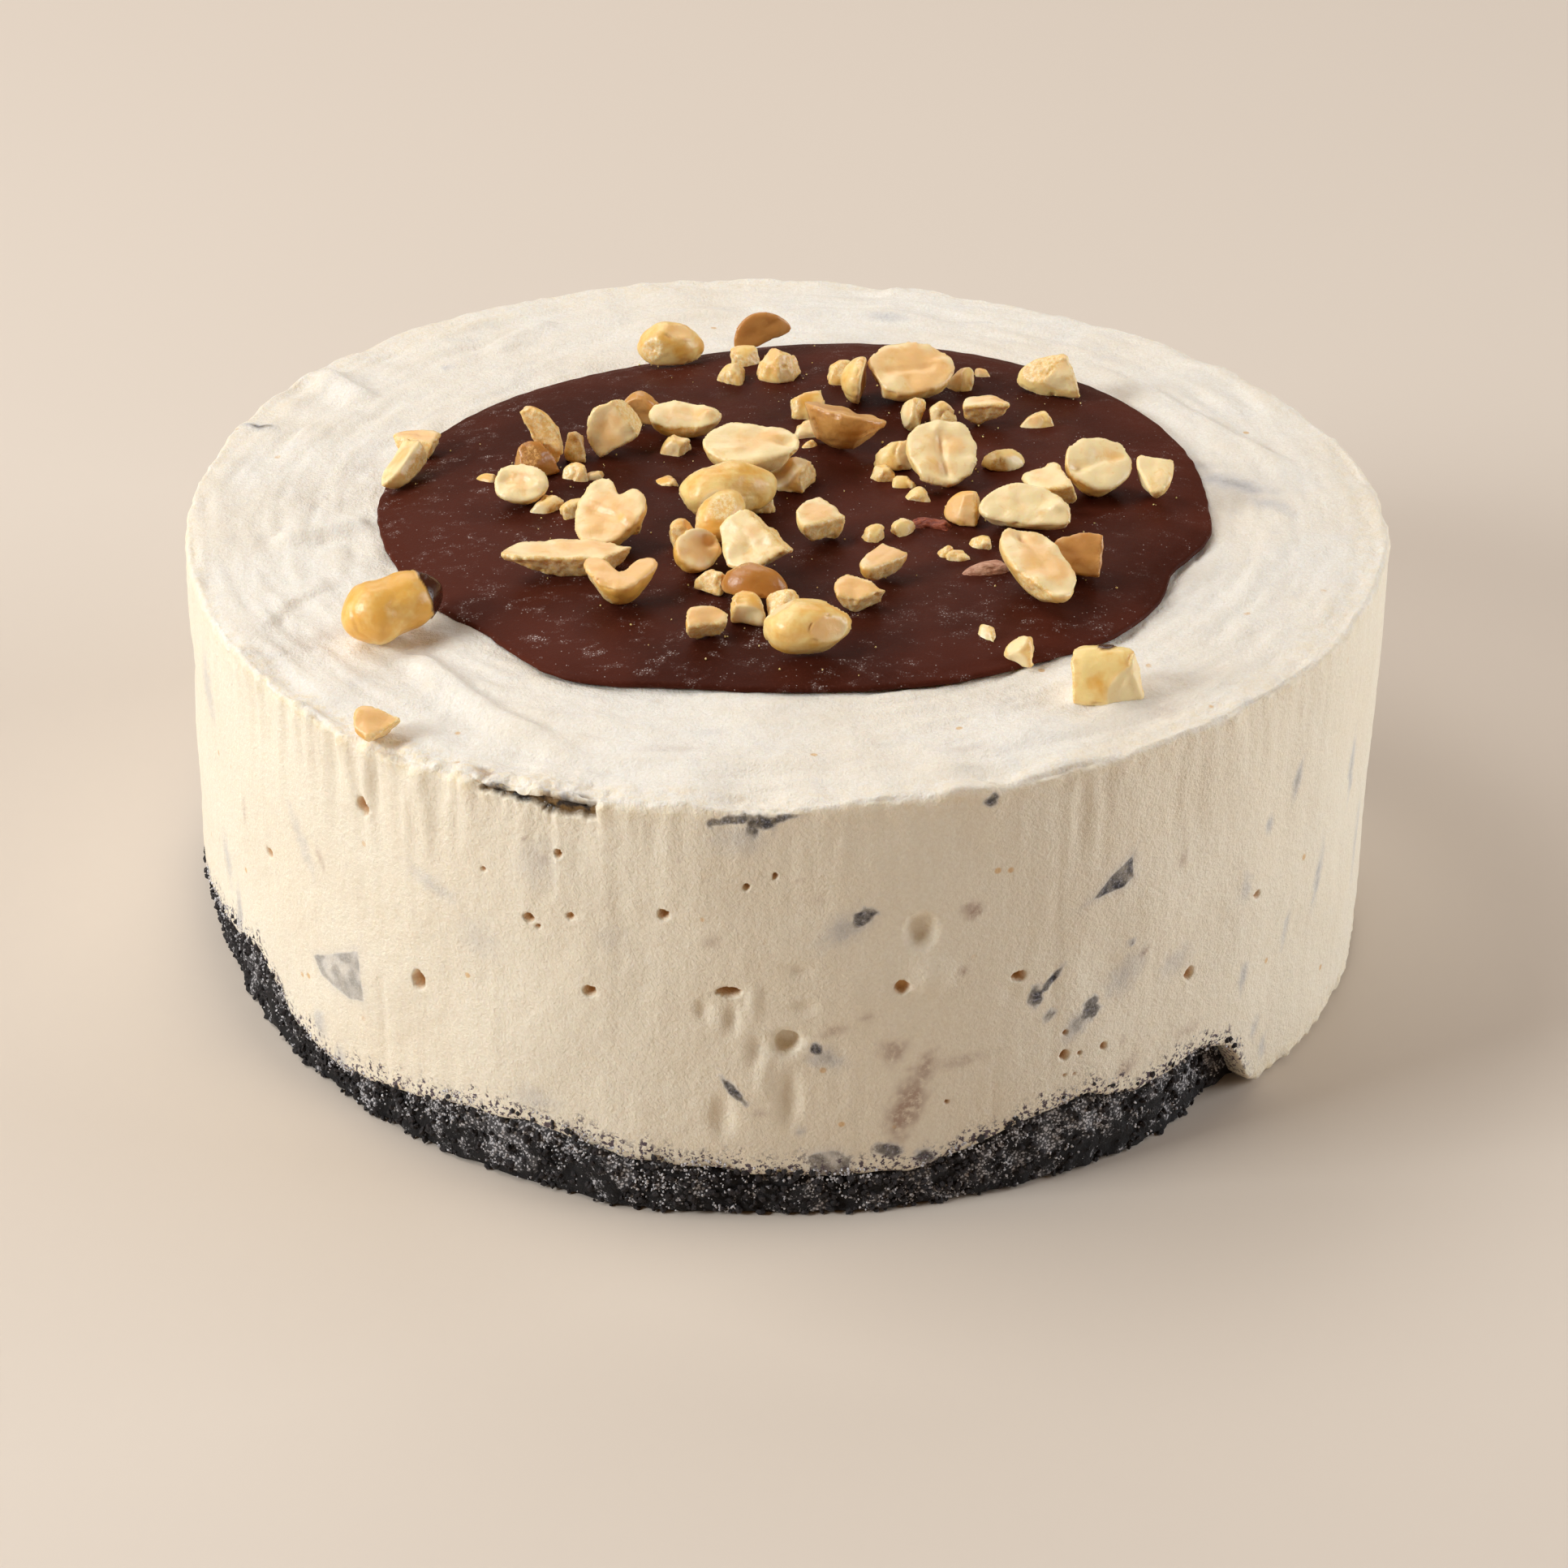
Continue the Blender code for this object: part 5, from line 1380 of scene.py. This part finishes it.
def crumb_cloud(name, spots, generator):
    """One mesh of many small crumbs, from (x, y, z, half size) spots."""
    shapes, faces = crumb_shapes(12, generator)
    all_points = []
    all_faces = []
    for number, (x, y, z, size) in enumerate(spots):
        turn = Euler([generator.uniform(0.0, 6.3) for axis in range(3)]).to_matrix()
        points = shapes[generator.randrange(len(shapes))] @ np.array(turn).T * size + (x, y, z)
        all_points.append(points)
        all_faces.append(faces + number * len(points))
    mesh = bpy.data.meshes.new(name)
    points = np.concatenate(all_points)
    points[:, 2] = np.maximum(points[:, 2], 0.0)
    mesh.from_pydata(points.tolist(), [], np.concatenate(all_faces).tolist())
    return mesh


def crust_spot(generator, low, high):
    """A place on the crust's broken face, with its height as a share of the crust's own."""
    while True:
        degrees = generator.uniform(0.0, 360.0)
        if cover_share(degrees) < 0.4:
            break
    radius, top = crust_edge(degrees)
    share = generator.uniform(low, high)
    height = share * top
    out = radius if share < 1.0 else max(radius, side_radius(degrees) - 0.1 * MM)
    angle = math.radians(degrees)
    return out * math.cos(angle), out * math.sin(angle), height, share


def make_crumbs(materials):
    generator = random.Random(CRUMB_SEED)
    dark = []
    for number in range(DARK_CRUMBS):
        x, y, z, share = crust_spot(generator, 0.0, 1.2)
        dark.append((x, y, z, generator.uniform(*DARK_CRUMB_SIZES) * MM))
    cloud = crumb_cloud("dark_crumbs", dark, generator)
    add_piece("dark_crumbs", cloud, materials["dark"], "cookie_crust", "crust")
    pale = []
    for number in range(PALE_CRUMB_TRIES):
        x, y, z, share = crust_spot(generator, 0.05, 1.3)
        cluster = noise.noise(Vector((x, y, z)) / (5.0 * MM))
        if generator.random() < 0.05 + 0.5 * min(share, 1.0) + 1.7 * cluster:
            pale.append((x, y, z, generator.uniform(*PALE_CRUMB_SIZES) * MM))
    cloud = crumb_cloud("frosted_crumbs", pale, generator)
    add_piece("frosted_crumbs", cloud, materials["frosted"], "cookie_crust", "crust")


def make_dust(material):
    """Fine nut crumbs strewn on the chocolate near the nuts."""
    generator = random.Random(DUST_SEED)
    spots = []
    for number in range(NUT_DUST_TRIES):
        nut = NUTS[generator.randrange(1, len(NUTS) - 2)]
        low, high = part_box(nut.name)
        x = generator.gauss((low.x + high.x) / 2.0, NUT_DUST_SPREAD)
        y = generator.gauss((low.y + high.y) / 2.0, NUT_DUST_SPREAD)
        size = generator.uniform(*NUT_DUST_SIZES) * MM
        if math.hypot(x - GANACHE_CENTRE[0], y - GANACHE_CENTRE[1]) < GANACHE_RADIUS - 4.0 * MM:
            spots.append((x, y, ganache_top(x, y) + 0.25 * MM, size))
    add_piece("nut_dust", crumb_cloud("nut_dust", spots, generator), material, "peanut", "ganache")


def make_camera():
    camera = bpy.data.objects.new("camera", bpy.data.cameras.new("camera"))
    camera.location = CAMERA_PLACE
    camera.rotation_euler = [math.radians(value) for value in CAMERA_TURN]
    camera.data.lens = CAMERA_LENS
    camera.data.sensor_width = CAMERA_SENSOR
    camera.data.clip_start = 0.01
    bpy.context.scene.collection.objects.link(camera)
    bpy.context.scene.camera = camera


def make_lights():
    for name, azimuth, rise, distance, size, watts, colour in LIGHTS:
        data = bpy.data.lights.new(name, "AREA")
        data.shape = "SQUARE"
        data.size = size
        data.energy = watts
        data.color = colour
        light = bpy.data.objects.new(name, data)
        level = math.cos(math.radians(rise))
        turn = math.radians(azimuth)
        toward = Vector((math.cos(turn) * level, math.sin(turn) * level, math.sin(math.radians(rise))))
        light.location = toward * distance + Vector((0.0, 0.0, LIGHTS_AIM))
        light.rotation_euler = toward.to_track_quat("Z", "Y").to_euler()
        bpy.context.scene.collection.objects.link(light)
    world = bpy.data.worlds.new("studio")
    world.use_nodes = True
    background = world.node_tree.nodes["Background"]
    background.inputs["Color"].default_value = (*WORLD_COLOUR, 1.0)
    background.inputs["Strength"].default_value = WORLD_STRENGTH
    bpy.context.scene.world = world


def make_floor():
    mesh = bpy.data.meshes.new("floor")
    half = FLOOR_HALF_SIZE
    level = -0.1 * MM
    corners = [(-half, -half, level), (half, -half, level), (half, half, level), (-half, half, level)]
    mesh.from_pydata(corners, [], [(0, 1, 2, 3)])
    mesh.materials.append(floor_material())
    floor = bpy.data.objects.new("floor", mesh)
    bpy.context.scene.collection.objects.link(floor)


def make_materials():
    return {
        "peanut": peanut_material("peanut", (0.97, 0.725, 0.30), (0.85, 0.465, 0.095), (1.0, 0.80, 0.46),
                                  (0.90, 0.58, 0.20), (0.94, 0.565, 0.235)),
        "roasted_peanut": peanut_material("roasted_peanut", (0.66, 0.34, 0.095), (0.50, 0.205, 0.04),
                                          (0.74, 0.42, 0.15), (0.40, 0.17, 0.04), (0.56, 0.26, 0.07)),
        "red_skin": skin_material("red_skin", (0.17, 0.022, 0.009), (0.42, 0.10, 0.04)),
        "pink_skin": skin_material("pink_skin", (0.46, 0.19, 0.11), (0.74, 0.43, 0.29)),
        "dark": crumb_material("dark_crumb", (0.008, 0.0065, 0.007), (0.030, 0.023, 0.025)),
        "frosted": crumb_material("frosted_crumb", (0.34, 0.33, 0.35), (0.80, 0.79, 0.81)),
    }


def main():
    random.seed(SEED)
    noise.seed_set(SEED)
    scene = bpy.context.scene
    scene.view_settings.view_transform = "Standard"
    make_camera()
    make_lights()
    make_floor()
    materials = make_materials()
    bits = make_bits(materials)
    nuts = make_nuts(materials)
    tree = nearness_tree(bits + nuts)
    make_ganache(ganache_material(), tree)
    make_ice_cream(ice_cream_material(), tree)
    make_crust(crust_material())
    make_crumbs(materials)
    make_dust(materials["peanut"])


main()
